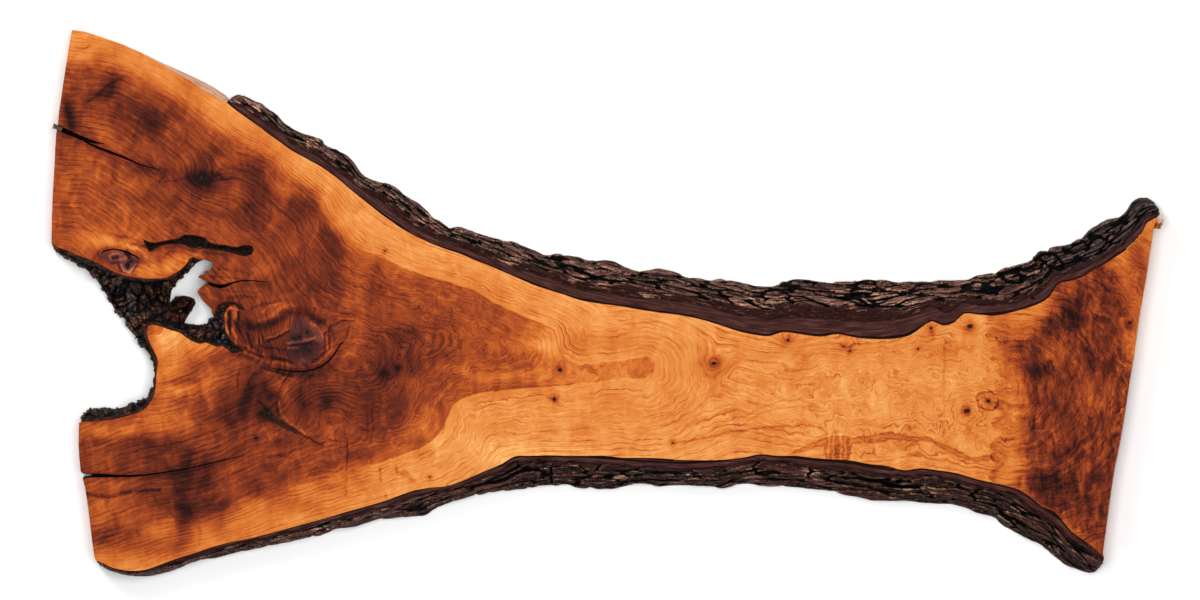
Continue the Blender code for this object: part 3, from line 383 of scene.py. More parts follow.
# %% Draw the strokes of the figure
STROKES = [
    # line above the mineral streak, and the hatching in it
    (1.2, 0.16, [(674, 443), (688, 441), (704, 438), (728, 433), (752, 429), (776, 427), (805, 425),
                 (822, 429), (827, 434)]),
    (0.9, 0.10, [(742, 418), (756, 410), (778, 402), (800, 400), (820, 408)]),
    (0.9, 0.09, [(742, 425), (760, 414), (785, 407), (806, 408), (818, 416)]),
    (0.9, -0.20, [(829, 436), (828, 458)]), (0.8, -0.18, [(833.5, 436), (833, 459)]),
    (0.9, -0.20, [(841, 434), (841, 459)]), (0.7, -0.16, [(845, 436), (845, 458)]),
    (1.6, 0.20, [(837, 436), (837, 446)]), (1.4, 0.14, [(848, 438), (860, 439), (872, 439)]),
    (1.3, 0.12, [(876, 436), (890, 435), (906, 437), (922, 439)]),
    (1.5, 0.14, [(944, 446), (954, 451), (966, 457)]),
    (1.2, 0.10, [(958, 464), (968, 459), (980, 458), (990, 458)]),
    (1.2, 0.10, [(624, 324), (640, 323), (659, 322)]), (0.8, 0.08, [(620, 320), (634, 320)]),
    (1.0, 0.10, [(541, 432), (549, 432), (556, 433)]), (0.7, 0.10, [(545, 441), (552, 440)]),
    (0.8, 0.16, [(547, 396), (551, 399), (554, 402)]), (0.8, 0.16, [(559, 395), (558, 399), (556, 402)]),
    # rings round the knots by the cap line, and faint saw marks
    (0.8, 0.20, [(982, 397), (988, 401), (996, 404)]),
    (1.0, 0.16, [(961, 412), (964, 407), (970, 409), (968, 415), (961, 412)]),
    (0.8, 0.08, [(955, 400), (951, 410), (956, 421), (966, 424), (974, 418), (975, 410)]),
    (0.8, 0.07, [(950, 396), (944, 410), (950, 426), (964, 431), (978, 427)]),
    (0.8, 0.16, [(937, 410), (941, 411)]), (0.8, 0.16, [(938, 415), (942, 414)]),
    (1.2, 0.06, [(945, 340), (944, 372), (944, 400), (943, 430), (945, 452)]),
    (2.8, 0.03, [(735, 330), (736, 380), (734, 430), (735, 455)]),
    (2.8, 0.03, [(932, 300), (932, 360), (931, 420)]), (0.9, 0.14, [(852, 338), (855, 345)]),
    (0.9, 0.14, [(856, 337), (859, 344)]), (0.9, 0.12, [(860, 337), (862, 343)]),
    # swirled knot: the dark fold over it, its gold lips, and the fingers of the fold
    (4.6, 0.20, [(229, 322), (240, 325), (252, 326), (266, 325), (279, 319), (289, 313), (298, 312),
                 (310, 315), (322, 322)]),
    (2.0, 0.12, [(322, 322), (330, 330), (333, 340)]),
    (1.8, -0.12, [(258, 321), (268, 318), (277, 311), (286, 306)]),
    (1.3, -0.10, [(262, 312), (270, 306), (284, 304), (296, 306)]),
    (1.3, 0.10, [(252, 308), (264, 304), (282, 300)]), (1.2, -0.14, [(256, 332), (257, 343)]),
    (1.1, -0.14, [(260, 333), (261, 342)]), (1.1, -0.12, [(264, 333), (265, 341)]),
    (0.9, 0.16, [(258, 332), (259, 343)]), (0.9, 0.16, [(262, 333), (263, 342)]),
    (1.6, 0.14, [(248, 334), (252, 346), (260, 352)]), (1.4, 0.18, [(266, 341), (276, 338), (289, 331)]),
    (1.0, -0.16, [(267, 338), (278, 335), (289, 328)]), (1.3, 0.12, [(262, 346), (272, 348), (284, 350)]),
    (1.2, -0.10, [(276, 350), (280, 356), (286, 358)]),
    # on and beside the knot's body
    (1.5, -0.30, [(288, 343), (302, 341), (314, 338.5)]), (1.3, -0.26, [(288, 348.5), (299, 347.5)]),
    (1.0, 0.16, [(288, 345.6), (301, 344.4), (312, 342)]), (0.9, -0.14, [(308, 345), (315, 352)]),
    (1.5, -0.12, [(310, 323), (319, 330), (323, 338)]), (1.2, -0.14, [(327, 336), (327, 350)]),
    (1.2, -0.12, [(332, 334), (331, 349)]), (1.2, 0.16, [(329.5, 335), (329, 350)]),
    (1.2, 0.12, [(324.5, 334), (325, 350)]), (1.3, -0.14, [(314, 364), (323, 359), (331, 350)]),
    (1.2, 0.14, [(311, 362), (320, 357), (327, 350)]), (1.2, -0.12, [(302, 359), (305, 361)]),
    (1.6, -0.12, [(274, 362), (284, 364), (294, 367)]), (1.2, 0.16, [(272, 358), (284, 360), (292, 363)]),
    (1.8, -0.07, [(316, 373), (327, 367), (338, 354)]), (1.0, 0.16, [(348, 330), (346, 337)]),
    # ribs beside the bark's arm
    (2.0, -0.24, [(225, 314), (225.5, 325), (228, 335)]),
    (2.0, -0.20, [(236, 313), (233.6, 323), (233, 331), (236, 337)]),
    (1.5, 0.34, [(230, 312), (229.5, 323), (230.5, 334)]),
    (1.4, 0.24, [(239, 312), (238, 322), (240, 332)]), (1.5, -0.18, [(223, 308), (231, 307.4), (238, 310)]),
    (1.8, 0.34, [(219, 306), (228, 303.5), (238, 305), (243, 309)]),
    # folds that run from the bark's arm under the knot
    (1.8, 0.14, [(238, 345), (250, 352), (262, 357)]), (1.3, -0.10, [(240, 343), (252, 349), (264, 354)]),
    (2.6, 0.12, [(232, 352), (246, 357), (258, 361)]), (1.4, -0.10, [(244, 352), (256, 358), (270, 362)]),
    (1.3, 0.12, [(262, 368), (276, 371), (290, 376)]), (1.2, -0.09, [(262, 371), (276, 375), (292, 379)]),
    (1.2, 0.12, [(240, 370), (237, 380), (238, 388)]), (1.2, 0.14, [(262, 371), (252, 376), (248, 385)]),
    (1.2, 0.12, [(286, 378), (281, 388), (277, 398)]),
    (1.4, -0.12, [(288, 388), (280, 400), (281, 412), (288, 422)]),
    (1.2, 0.12, [(284, 392), (277, 403), (279, 414)]), (1.2, 0.14, [(258, 402), (264, 406), (268, 412)]),
    (1.4, -0.20, [(289, 425), (297, 428.5), (305, 433)]), (1.2, 0.20, [(304, 435), (313, 441), (322, 445)]),
    (1.0, 0.12, [(320, 444), (328, 440), (340, 442)]), (1.0, 0.10, [(330, 446), (338, 442), (348, 438)]),
    (1.1, 0.16, [(347, 440), (347, 454), (346, 470)]), (1.2, 0.08, [(366, 408), (368, 424), (367, 440)]),
    (1.2, 0.08, [(371, 410), (373, 426), (371, 442)]), (1.1, 0.10, [(372, 452), (371, 462)]),
    # lower limb: stain line, marks along the edge
    (1.8, 0.20, [(86, 494), (98, 496), (113, 496), (124, 493), (140, 491), (160, 490)]),
    (1.2, 0.10, [(258, 458), (276, 455), (292, 458)]), (1.0, 0.14, [(380, 468), (381, 482)]),
    (1.2, 0.20, [(397, 467), (397, 472)]), (2.2, 0.12, [(398, 473), (408, 476), (415, 483)]),
    (1.0, 0.12, [(403, 470), (410, 474)]), (1.2, 0.14, [(386, 494), (387, 498)]),
    (1.2, 0.08, [(346, 478), (346, 496)]), (1.2, 0.06, [(200, 520), (200, 545)]),
    (1.0, 0.14, [(76, 47), (82, 49), (90, 46)]), (1.5, 0.10, [(84, 104), (96, 96), (110, 84), (122, 78)]),
    (1.6, 0.10, [(57, 226), (80, 228), (104, 233), (128, 238), (144, 243)]),
    (1.6, 0.22, [(132, 243), (146, 246), (160, 244)]), (1.6, -0.14, [(126, 246), (140, 250), (147, 258)]),
    (1.0, 0.10, [(160, 182), (176, 180), (188, 176)]), (1.3, 0.14, [(218, 172), (224, 180), (230, 178)]),
    (1.0, 0.10, [(152, 168), (164, 170), (166, 176), (160, 180)]),
    (1.2, 0.10, [(92, 262), (97, 254), (106, 248), (120, 247)]),
    (1.6, -0.10, [(104, 266), (116, 274), (128, 279)]),
    # the loose knot: its two eyes, the cleft, and the rims below
    (1.5, 0.36, [(112.5, 257.6), (115, 256.6), (118.5, 257)]),
    (1.2, 0.30, [(112.5, 262.6), (115.5, 262), (118.5, 263)]),
    (1.7, 0.70, [(126.6, 252.5), (128, 255), (128.8, 257)]),
    (1.4, 0.70, [(131.4, 261), (128.4, 263), (128.4, 267)]),
    (1.1, -0.22, [(120.5, 264.5), (125, 270), (129.5, 272), (133, 268), (135.5, 264)]),
    (1.0, -0.20, [(110.5, 259.5), (109.6, 256.6), (112, 254.4), (116, 253.8), (121, 254.6)]),
    (0.9, -0.14, [(120, 260), (124, 258.6), (126, 256)]),
    (1.0, -0.14, [(130.6, 257), (133, 255.6), (136, 259)]),
    (1.0, 0.26, [(117.6, 264.4), (119.6, 268), (122.2, 271.4)]),
    (1.0, 0.22, [(133.2, 271.6), (135, 268), (136.2, 265)]),
    # the lens of wood between the pocket and the fork's bark
    (2.2, 0.12, [(152, 250), (166, 247), (184, 248), (204, 252), (226, 255)]),
    (1.4, 0.10, [(164, 258), (170, 252), (180, 252)]), (1.6, -0.10, [(186, 262), (194, 256), (200, 252)]),
    (1.3, 0.10, [(146, 262), (152, 270), (166, 276), (182, 272)]),
    (1.2, 0.08, [(178, 264), (186, 262), (192, 258)]),
    # right of the hole
    (1.1, 0.08, [(212, 268), (232, 270), (248, 274)]), (1.1, 0.08, [(210, 276), (228, 278), (246, 280)]),
    (1.2, 0.08, [(222, 290), (240, 292), (262, 292)]), (1.3, 0.10, [(202, 294), (208, 302), (212, 312)]),
    (1.2, -0.10, [(206, 288), (210, 296), (218, 300)]), (1.8, 0.10, [(228, 298), (244, 296), (256, 298)]),
]
MINERAL = [
    (788, 454), (810, 444), (834, 435), (853, 437.6), (872, 435), (891, 431.6), (908, 436), (930, 437.6),
    (944, 444.8), (961, 452), (973, 458), (992, 455.6), (994, 460), (975, 461.6), (958, 457), (941, 447.5),
    (930, 441), (910, 441), (891, 440), (872, 443), (852, 443), (849, 460), (826, 460), (824, 445),
    (805, 452),
]
HATCHED = [(826, 438), (834, 435), (850, 437), (848, 460), (827, 460)]
RING_KNOT = [
    (975, 399), (978, 394), (983, 391.5), (992, 391.5), (998, 396), (999, 404), (994, 410), (987, 411),
    (979, 408),
]
LOOSE_KNOT = [
    (100.4, 255), (107.6, 250.6), (124.4, 251), (132, 254), (138.8, 258), (138.8, 264), (133, 270),
    (131.6, 273.4), (124.4, 273.4), (119.6, 270), (117.2, 265), (107.6, 262.6), (101.6, 258),
]
SWIRL_KNOT = [
    (293, 316), (300, 317), (310.4, 322.4), (320, 329.6), (323.6, 338), (322.4, 348), (315, 358.4),
    (304.4, 366.8), (295, 362), (286.4, 352.4), (287.6, 340.4), (291, 329.6),
]
BARK_POCKET = [
    (262, 405), (268, 408), (276, 416), (285, 421.5), (296, 427.5), (304, 435), (296, 434), (286, 430),
    (276, 424.5), (268, 421), (264, 414),
]
CHECKS = [
    [(50, 126), (58, 131), (72, 138), (84, 142), (98, 145)],
    [(84, 141), (100, 149), (120, 160), (140, 167), (161, 173)],
    [(74, 475), (90, 475), (120, 476), (160, 473), (200, 467), (245, 455)],
    [(202, 282), (213, 285), (220, 289), (232, 286), (250, 284), (268, 285)],
    [(344, 342), (337, 356), (328, 366), (314, 374), (298, 374), (278, 371)],
    [(101, 254), (106, 251), (113, 249), (122, 251), (130, 254), (138, 260)],
]
print(len(STROKES), "strokes and", len(CHECKS), "checks")

# %% [markdown]
# A stroke one millimetre wide needs vertices closer than the grid's. Only the faces near narrow marks are
# divided again, so that the fine detail costs few triangles. The grid squares are all inside the outline,
# and an operator fills each with a smaller grid.

# %% Divide the faces near fine marks
NARROW = 2.7            # strokes this wide or wider need no finer vertices, in pixels
SPREAD = 1.5            # a mark shades the wood as far as this many of its widths
FINE_REACH = 1.6        # faces this near a narrow mark are divided, in pixels
LEVEL = 0.9             # a face is level when its normal rises or falls more than this


def fine_mark_distance(x, y):
    """How far each point is outside the nearest narrow mark, in pixels."""
    nearest = np.full(x.shape, np.inf)
    for width, _, points in STROKES:
        if width < NARROW:
            distance, _ = line_distance(x, y, points)
            nearest = np.minimum(nearest, distance - SPREAD * width)
    for centre_x, centre_y, half_x, half_y, _, _ in KNOTS:
        from_centre = np.hypot(x - centre_x, y - centre_y)
        nearest = np.minimum(nearest, from_centre - SPREAD * max(half_x, half_y))
    for outline in (SWIRL_KNOT, LOOSE_KNOT, BARK_POCKET, MINERAL, RING_KNOT):
        distance, _ = line_distance(x, y, outline)
        nearest = np.minimum(nearest, distance - SPREAD)
    return nearest


def divide_near_marks(mesh):
    """Divide the level faces of the upper side that lie near a narrow mark."""
    places = vertex_places(mesh)
    near = fine_mark_distance(*pixels_of(places)) < FINE_REACH
    bm = bmesh.new()
    bm.from_mesh(mesh)
    bm.verts.ensure_lookup_table()
    bm.faces.ensure_lookup_table()
    chosen = {}
    for face in bm.faces:
        if face.normal.z > LEVEL and any(near[vert.index] for vert in face.verts):
            chosen.update(dict.fromkeys(face.edges))
    bmesh.ops.subdivide_edges(bm, edges=list(chosen), cuts=2, use_grid_fill=True)
    loose = [face for face in bm.faces if len(face.verts) > 4]
    bmesh.ops.triangulate(bm, faces=loose)
    bm.to_mesh(mesh)
    bm.free()


divide_near_marks(wood.data)
print("wood now has", len(wood.data.vertices), "vertices")

# %% [markdown]
# Growth rings are surfaces round the pith. Inside the heart they nest in its outline. In the pale wood they
# follow the heart on one side and the bark on the other, so their number blends the distances to both.
# Towards the butt the saw ran level with the rings, and a middle line takes the heart's part. Knots push
# the rings aside.

# %% Number the rings and lay the grain
VERTEX = 11.0       # how rounded the rings are where the heart's two sides meet, in pixels
TIP_ARCS = 30.0     # how far the rings bend round the streak's end
BARK_RINGS = 30.0   # the number at the bark, where the sapwood is narrowest

# swells of the grain that push the rings aside: centre, size and push, in pixels
WIDE_PUSHES = [(306, 344, 34, 40), (322, 402, 34, 26), (118, 262, 20, 14), (964, 408, 20, 12)]
MIDDLE_LINE = [(735, 372), (790, 386), (850, 380), (920, 372), (1000, 385)]


def bark_distance(x, y):
    """Distance to the nearer edge of bark."""
    upper, _ = line_distance(x, y, BARE_LINE + [row[:2] for row in UPPER_LINE])
    lower, _ = line_distance(x, y, [row[:2] for row in LOWER_LINE])
    return np.minimum(upper, lower)


def ring_number(x, y, heart):
    """A value whose equal lines are the growth rings, in pixels."""
    above, _ = line_distance(x, y, HEART[:HEART.index((559, 351)) + 1])
    below, _ = line_distance(x, y, HEART[HEART.index((573, 384)):])
    nested = -VERTEX * np.log(np.exp(-above / VERTEX) + np.exp(-below / VERTEX))
    inner = np.maximum(-np.maximum(heart, depth_inside(x, y, STREAK)), 0.0)
    middle, _ = line_distance(x, y, MIDDLE_LINE)
    inner = -VERTEX * np.log(np.exp(-inner / VERTEX) + np.exp(-(middle + TIP_ARCS) / VERTEX))
    bark = bark_distance(x, y)
    width = inner + bark + 1e-6
    outside = (bark * inner + inner * (BARK_RINGS + 0.5 * width - bark)) / width
    rings = np.where(heart > 0, -np.maximum(nested, 0.0), outside)
    for centre_x, centre_y, _, _, _, push in KNOTS:
        reach = 1.2 * push + 2.0
        rings = rings + push * np.exp(-((x - centre_x) ** 2 + ((y - centre_y) * 1.4) ** 2) / reach ** 2)
    for centre_x, centre_y, size, push in WIDE_PUSHES:
        rings = rings + push * np.exp(-((x - centre_x) ** 2 + (1.2 * (y - centre_y)) ** 2) / size ** 2)
    return rings


def soft_ovals(x, y, rows):
    """The sum of soft ovals at each point."""
    total = np.zeros(x.shape)
    for centre_x, centre_y, half_x, half_y, turn, amount in rows:
        angle = math.radians(turn)
        across = (x - centre_x) * math.cos(angle) - (y - centre_y) * math.sin(angle)
        down = (x - centre_x) * math.sin(angle) + (y - centre_y) * math.cos(angle)
        total += amount * np.exp(-(across / half_x) ** 2 - (down / half_y) ** 2)
    return total


def wandering(x, y, reach, size, seed):
    """Shift points a little by smooth noise, so that what is measured from them looks grown, not ruled."""
    shifts = np.array([noise.noise_vector(Vector((a / size, b / size, seed))) for a, b in zip(x, y)])
    return x + reach * shifts[:, 0], y + reach * shifts[:, 1]


def stroke_shade(x, y):
    """The darkest and the lightest stroke at each point, added up."""
    darkest, lightest = np.zeros(x.shape), np.zeros(x.shape)
    for width, amount, points in STROKES:
        distance, _ = line_distance(x, y, flowing(points, 3.0) if len(points) > 2 else points)
        stroke = amount * np.exp(-(distance / width) ** 2)
        darkest, lightest = np.maximum(darkest, stroke), np.minimum(lightest, stroke)
    for outline, fill, edge in ((MINERAL, 0.11, 0.12), (HATCHED, 0.20, 0.04), (RING_KNOT, 0.09, 0.20)):
        depth = depth_inside(x, y, outline)
        filled = fill * ramp(depth, -0.8, 0.8) + edge * np.exp(-((depth - 0.5) / 0.9) ** 2)
        darkest = np.maximum(darkest, filled)
    return darkest + lightest


def knot_core(x, y):
    """1 in the black core of a knot, and its brown halo as a second value."""
    core, halo = np.zeros(x.shape), np.zeros(x.shape)
    for centre_x, centre_y, half_x, half_y, reach, _ in KNOTS:
        oval = np.hypot((x - centre_x) / half_x, (y - centre_y) / half_y)
        distance = np.hypot(x - centre_x, y - centre_y)
        core = np.maximum(core, 1.0 - ramp(oval, 0.4, 1.1))
        halo = np.maximum(halo, np.exp(-(distance / reach) ** 2))
    return core, halo


def paint_figure(mesh):
    """Give every vertex of the wood the values that its finish reads."""
    x, y = pixels_of(vertex_places(mesh))
    heart = depth_inside(x, y, HEART)
    butt = depth_inside(x, y, BUTT_HEART)
    core, halo = knot_core(x, y)
    loose = ramp(depth_inside(x, y, LOOSE_KNOT), -1.5, 1.5)
    swirl = ramp(depth_inside(x, y, SWIRL_KNOT), -1.5, 1.5)
    pocket = ramp(depth_inside(x, y, BARK_POCKET), -0.8, 1.2)
    cap = x - np.interp(y, [row[1] for row in CAP_LINE], [row[0] for row in CAP_LINE])
    checks = np.min([line_distance(x, y, line)[0] for line in CHECKS], axis=0)
    drawn_x, drawn_y = wandering(x, y, 1.5, 5.0, 2.0)
    blurred_x, blurred_y = wandering(x, y, 9.0, 26.0, 6.0)
    beside_checks = np.exp(-(checks / 5.0) ** 2) * (heart > 0)
    shade = soft_ovals(blurred_x, blurred_y, SHADES) + 0.20 * halo + 0.10 * beside_checks
    curl = 0.7 + 0.6 * ramp(x, 250, 330) + ramp(x, 330, 420) * (1 - ramp(x, 470, 560))
    curl += 0.3 * ramp(x, 1000, 1060)
    curl += 2.4 * ramp(x, 760, 860) * (1 - ramp(x, 990, 1020))
    calm = 1 - 0.7 * np.exp(-(bark_distance(x, y) / 18.0) ** 2)
    paint_values(mesh, heart=heart, butt=butt, streak=depth_inside(x, y, STREAK),
                 rings=ring_number(x, y, heart), along=x, shade=shade + 0.40 * core,
                 strokes=stroke_shade(drawn_x, drawn_y), cap=cap,
                 charcoal=np.maximum(core, pocket * 0.9), plum=0.72 * swirl + 0.80 * loose,
                 curl=curl * calm)
    print("heart covers", round(100 * float(np.mean((heart > 0) | (butt > 0)))), "% of the vertices")


paint_figure(wood.data)

# %% [markdown]
# A finish is a network of nodes. Short helpers keep the networks readable. Each takes sockets and numbers
# and gives back a socket, so a finish reads like a formula: `times_plus(a, b, c)` is a times b plus c. A
# socket knows the network it belongs to. Whatever is the same all over a surface stays a plain number on
# the shader's own socket.

# %% Helpers for finishes
def tint(red, green, blue):
    """A colour as seen on screen, 0 to 255, turned into the linear values that the shader wants."""
    linear = []
    for value in (red, green, blue):
        share = value / 255.0
        linear.append(share / 12.92 if share <= 0.04045 else ((share + 0.055) / 1.055) ** 2.4)
    return (*linear, 1.0)


def node(near, kind, sockets=None, **settings):
    """Add a node to the network of another: numbers, colours or other sockets go into its sockets."""
    tree = near.id_data
    made = tree.nodes.new(kind)
    for name, value in settings.items():
        setattr(made, name, value)
    for key, value in (sockets or {}).items():
        if isinstance(value, bpy.types.NodeSocket):
            tree.links.new(value, made.inputs[key])
        else:
            made.inputs[key].default_value = value
    return made


def arithmetic(operation, first, second=0.0, third=0.0):
    """One step of arithmetic between sockets and numbers."""
    near = next(value for value in (first, second, third) if isinstance(value, bpy.types.NodeSocket))
    return node(near, "ShaderNodeMath", {0: first, 1: second, 2: third}, operation=operation).outputs[0]


def times(first, second):
    return arithmetic("MULTIPLY", first, second)


def plus(first, second):
    return arithmetic("ADD", first, second)


def minus(first, second):
    return arithmetic("SUBTRACT", first, second)


def times_plus(first, second, third):
    return arithmetic("MULTIPLY_ADD", first, second, third)


def painted(shader, name):
    """The value painted on the vertices under that name."""
    return node(shader, "ShaderNodeAttribute", attribute_name=name).outputs["Fac"]


def place_on(shader):
    """Where a point lies in the piece's own space, in metres."""
    return node(shader, "ShaderNodeTexCoord").outputs["Object"]


def joined(first, second=0.0):
    """A vector made of two values."""
    return node(first, "ShaderNodeCombineXYZ", {0: first, 1: second, 2: 0.0}).outputs[0]


def new_finish(name, roughness, gloss):
    """A material and its shader, with the shader's constants set."""
    material = bpy.data.materials.new(name)
    material.use_nodes = True
    shader = material.node_tree.nodes["Principled BSDF"]
    shader.inputs["Roughness"].default_value = roughness
    shader.inputs["Specular IOR Level"].default_value = gloss
    return material, shader


def feed(shader, name, value):
    """Link a value to one of the shader's sockets."""
    shader.id_data.links.new(value, shader.inputs[name])


def shades(value, stops):
    """A colour ramp: each stop is a place and its colour."""
    made = node(value, "ShaderNodeValToRGB", {"Fac": value})
    band = made.color_ramp
    band.interpolation = "B_SPLINE" if len(stops) > 5 else "LINEAR"
    while len(band.elements) < len(stops):
        band.elements.new(0.5)
    for element, (place, colour) in zip(band.elements, stops):
        element.position = place
        element.color = tint(*colour)
    return made.outputs["Color"]


def grain_noise(vector, scale, detail=2.0, roughness=0.5, distortion=0.0):
    """Noise from 0 to 1."""
    sockets = {"Vector": vector, "Scale": scale, "Detail": detail, "Roughness": roughness,
               "Distortion": distortion}
    return node(vector, "ShaderNodeTexNoise", sockets).outputs["Fac"]


def stretched(vector, scale):
    """The vector with each of its directions scaled."""
    return node(vector, "ShaderNodeMapping", {"Vector": vector, "Scale": scale}).outputs["Vector"]


def softened(value, low, high):
    """0 below low, 1 above high."""
    return node(value, "ShaderNodeMapRange", {"Value": value, "From Min": low, "From Max": high},
                interpolation_type="SMOOTHSTEP").outputs["Result"]


def blended(share, first, second):
    """The first colour where share is 0 and the second where it is 1."""
    return node(share, "ShaderNodeMix", {0: share, 6: first, 7: second}, data_type="RGBA").outputs[2]


def roughen(shader, height, strength, distance):
    """Let the surface catch the light as if it had that height."""
    bump = node(shader, "ShaderNodeBump", {"Height": height, "Strength": strength, "Distance": distance})
    feed(shader, "Normal", bump.outputs["Normal"])


def vary_shine(shader, value, smooth, dull, low=0.0, high=1.0):
    """Roughness goes from smooth to dull as the value goes from low to high."""
    sockets = {"Value": value, "From Min": low, "From Max": high, "To Min": smooth, "To Max": dull}
    feed(shader, "Roughness", node(value, "ShaderNodeMapRange", sockets).outputs["Result"])


print("finish helpers are ready")

# %% [markdown]
# Oiled walnut runs through one family of colours, from pale gold through orange and red-brown to nearly
# black. So the finish adds up how dark the wood is: sapwood or heart, broad shades, ring lines, streaks
# along the grain and fine pores. One ramp then turns that darkness into a colour, and a second colour
# serves the plum-grey knots and the charcoal bark in the pocket.

# %% Finish of the oiled upper face
WOOD_COLOURS = [
    (0.00, (255, 214, 148)), (0.12, (244, 184, 108)), (0.25, (217, 146, 80)), (0.38, (205, 117, 46)),
    (0.50, (182, 87, 33)), (0.62, (142, 59, 28)), (0.74, (98, 37, 21)), (0.87, (56, 22, 17)),
    (1.00, (18, 9, 8)),
]
PLUM_COLOURS = [(0.0, (196, 120, 88)), (0.4, (104, 56, 50)), (0.65, (64, 34, 34)), (1.0, (26, 18, 20))]


def boundary(depth, wander, low, high):
    """Where the heart begins, with a wandering edge."""
    return softened(plus(depth, wander), low, high)


def oiled_face_finish():
    material, shader = new_finish("oiled_walnut_face", 0.36, 0.13)
    place = place_on(shader)
    heart, butt, rings, along = (painted(shader, name) for name in ("heart", "butt", "rings", "along"))
    curl = painted(shader, "curl")
    broad = minus(grain_noise(place, 17.0, 2.0, 0.55, 0.6), 0.5)
    tight = minus(grain_noise(place, 52.0, 2.0, 0.5, 0.4), 0.5)
    sway = times(times_plus(broad, 9.0, times(tight, 3.2)), curl)
    bent = plus(rings, sway)

    # where the heartwood is: sharp along the tongue, soft in the limbs and at the butt
    ragged = times(broad, 9.0)
    tongue = boundary(heart, times(tight, 3.0), -0.6, 1.2)
    drift = boundary(heart, ragged, -5.0, 14.0)
    right_part = softened(along, 330.0, 420.0)
    left_heart = plus(times(tongue, right_part), times(drift, minus(1.0, right_part)))
    streaked = grain_noise(stretched(place, (9.0, 60.0, 9.0)), 1.0, 3.0, 0.6)
    butt_edge = times_plus(streaked, 26.0, -13.0)
    butt_heart = boundary(butt, butt_edge, -12.0, 14.0)
    streak = boundary(painted(shader, "streak"), times(tight, 2.0), -0.5, 1.5)
    streak = times(streak, softened(times_plus(tight, 40.0, along), 524.0, 552.0))

    # how dark each wood is before any grain
    warmth = times_plus(broad, 0.16, 0.30)
    sap = times_plus(softened(heart, -30.0, -2.0), 0.04, warmth)
    depth = times_plus(softened(heart, 2.0, 60.0), 0.07, 0.575)
    tone = times_plus(left_heart, minus(depth, sap), sap)
    tone = times_plus(butt_heart, minus(0.66, tone), tone)
    tone = times_plus(streak, minus(0.43, tone), tone)
    heartiness = arithmetic("MAXIMUM", left_heart, butt_heart)

    # growth rings: each darkens slowly and ends in a fine line
    ring_place = arithmetic("FRACT", times(bent, 0.21))
    fine_ring = arithmetic("FRACT", times_plus(bent, 0.47, 0.3))
    line = arithmetic("POWER", ring_place, 5.0)
    fine_line = arithmetic("POWER", fine_ring, 3.0)
    presence = softened(grain_noise(place, 20.0, 2.0, 0.6), 0.34, 0.62)
    each = joined(times(bent, 0.14))
    strong_ring = softened(grain_noise(each, 1.0, 2.0, 0.7), 0.40, 0.62)
    line = times(line, times_plus(strong_ring, 0.8, 0.2))
    ring_weight = times_plus(heartiness, -0.17, 0.37)
    ring_weight = times(ring_weight, times_plus(streak, -0.75, 1.0))
    tone = plus(tone, times(times(line, presence), ring_weight))
    tone = plus(tone, times(fine_line, 0.075))

    # streaks, blotches and pores that run with the grain
    flow = joined(times(along, 0.035), times(bent, 0.36))
    streaks = minus(grain_noise(flow, 1.0, 4.0, 0.62), 0.5)
    tone = plus(tone, times(streaks, times_plus(heartiness, 0.05, 0.36)))
    mottle = minus(grain_noise(stretched(place, (34.0, 20.0, 20.0)), 1.0, 4.0, 0.62, 0.9), 0.5)
    mottle_weight = times_plus(butt_heart, 0.22, times_plus(left_heart, 0.16, 0.25))
    tone = plus(tone, times(mottle, mottle_weight))
    flames = minus(grain_noise(stretched(place, (74.0, 27.0, 30.0)), 1.0, 4.0, 0.6, 0.5), 0.5)
    tone = plus(tone, times(flames, times(butt_heart, 0.62)))
    fibre = joined(times(along, 0.16), times(bent, 2.6))
    fibres = minus(grain_noise(fibre, 1.0, 3.0, 0.7), 0.5)
    tone = times_plus(fibres, 0.36, tone)
    tone = plus(tone, painted(shader, "shade"))
    worn_stroke = times_plus(grain_noise(place, 70.0, 3.0, 0.6), 1.6, 0.2)
    tone = plus(tone, times(painted(shader, "strokes"), worn_stroke))

    # beyond the old cap line the pale wood is stained, and the stain feathers away from it
    cap = times_plus(minus(streaked, 0.5), 26.0, painted(shader, "cap"))
    beyond = times(softened(cap, -0.6, 7.0), minus(1.0, butt_heart))
    feather = times(softened(cap, -0.8, 0.4), softened(cap, 11.0, 0.5))
    feather = times(feather, softened(streaked, 0.42, 0.62))
    tone = times_plus(beyond, 0.045, times_plus(feather, 0.20, tone))

    # the fine red-brown line that edges the heart and the streak
    edge_distance = arithmetic("ABSOLUTE", plus(heart, times(tight, 3.0)))
    edging = times(minus(1.0, softened(edge_distance, 0.2, 1.3)), right_part)
    edging = times(edging, minus(1.0, streak))
    tone = times_plus(edging, 0.11, tone)

    wood_colour = shades(tone, WOOD_COLOURS)
    marks = plus(painted(shader, "shade"), painted(shader, "strokes"))
    plum_value = times_plus(mottle, 0.9, times_plus(marks, 1.2, 0.50))
    plum_colour = shades(plum_value, PLUM_COLOURS)
    with_plum = blended(painted(shader, "plum"), wood_colour, plum_colour)
    charcoal_colour = shades(grain_noise(place, 260.0, 2.0), [(0.35, (8, 4, 4)), (0.7, (44, 32, 30))])
    colour = blended(painted(shader, "charcoal"), with_plum, charcoal_colour)
    feed(shader, "Base Color", colour)
    vary_shine(shader, fibres, 0.32, 0.48, -0.3, 0.3)
    roughen(shader, fibres, 0.25, 0.2 * MM)
    return material


oiled_face = oiled_face_finish()
print(oiled_face.name, "has", len(oiled_face.node_tree.nodes), "nodes")
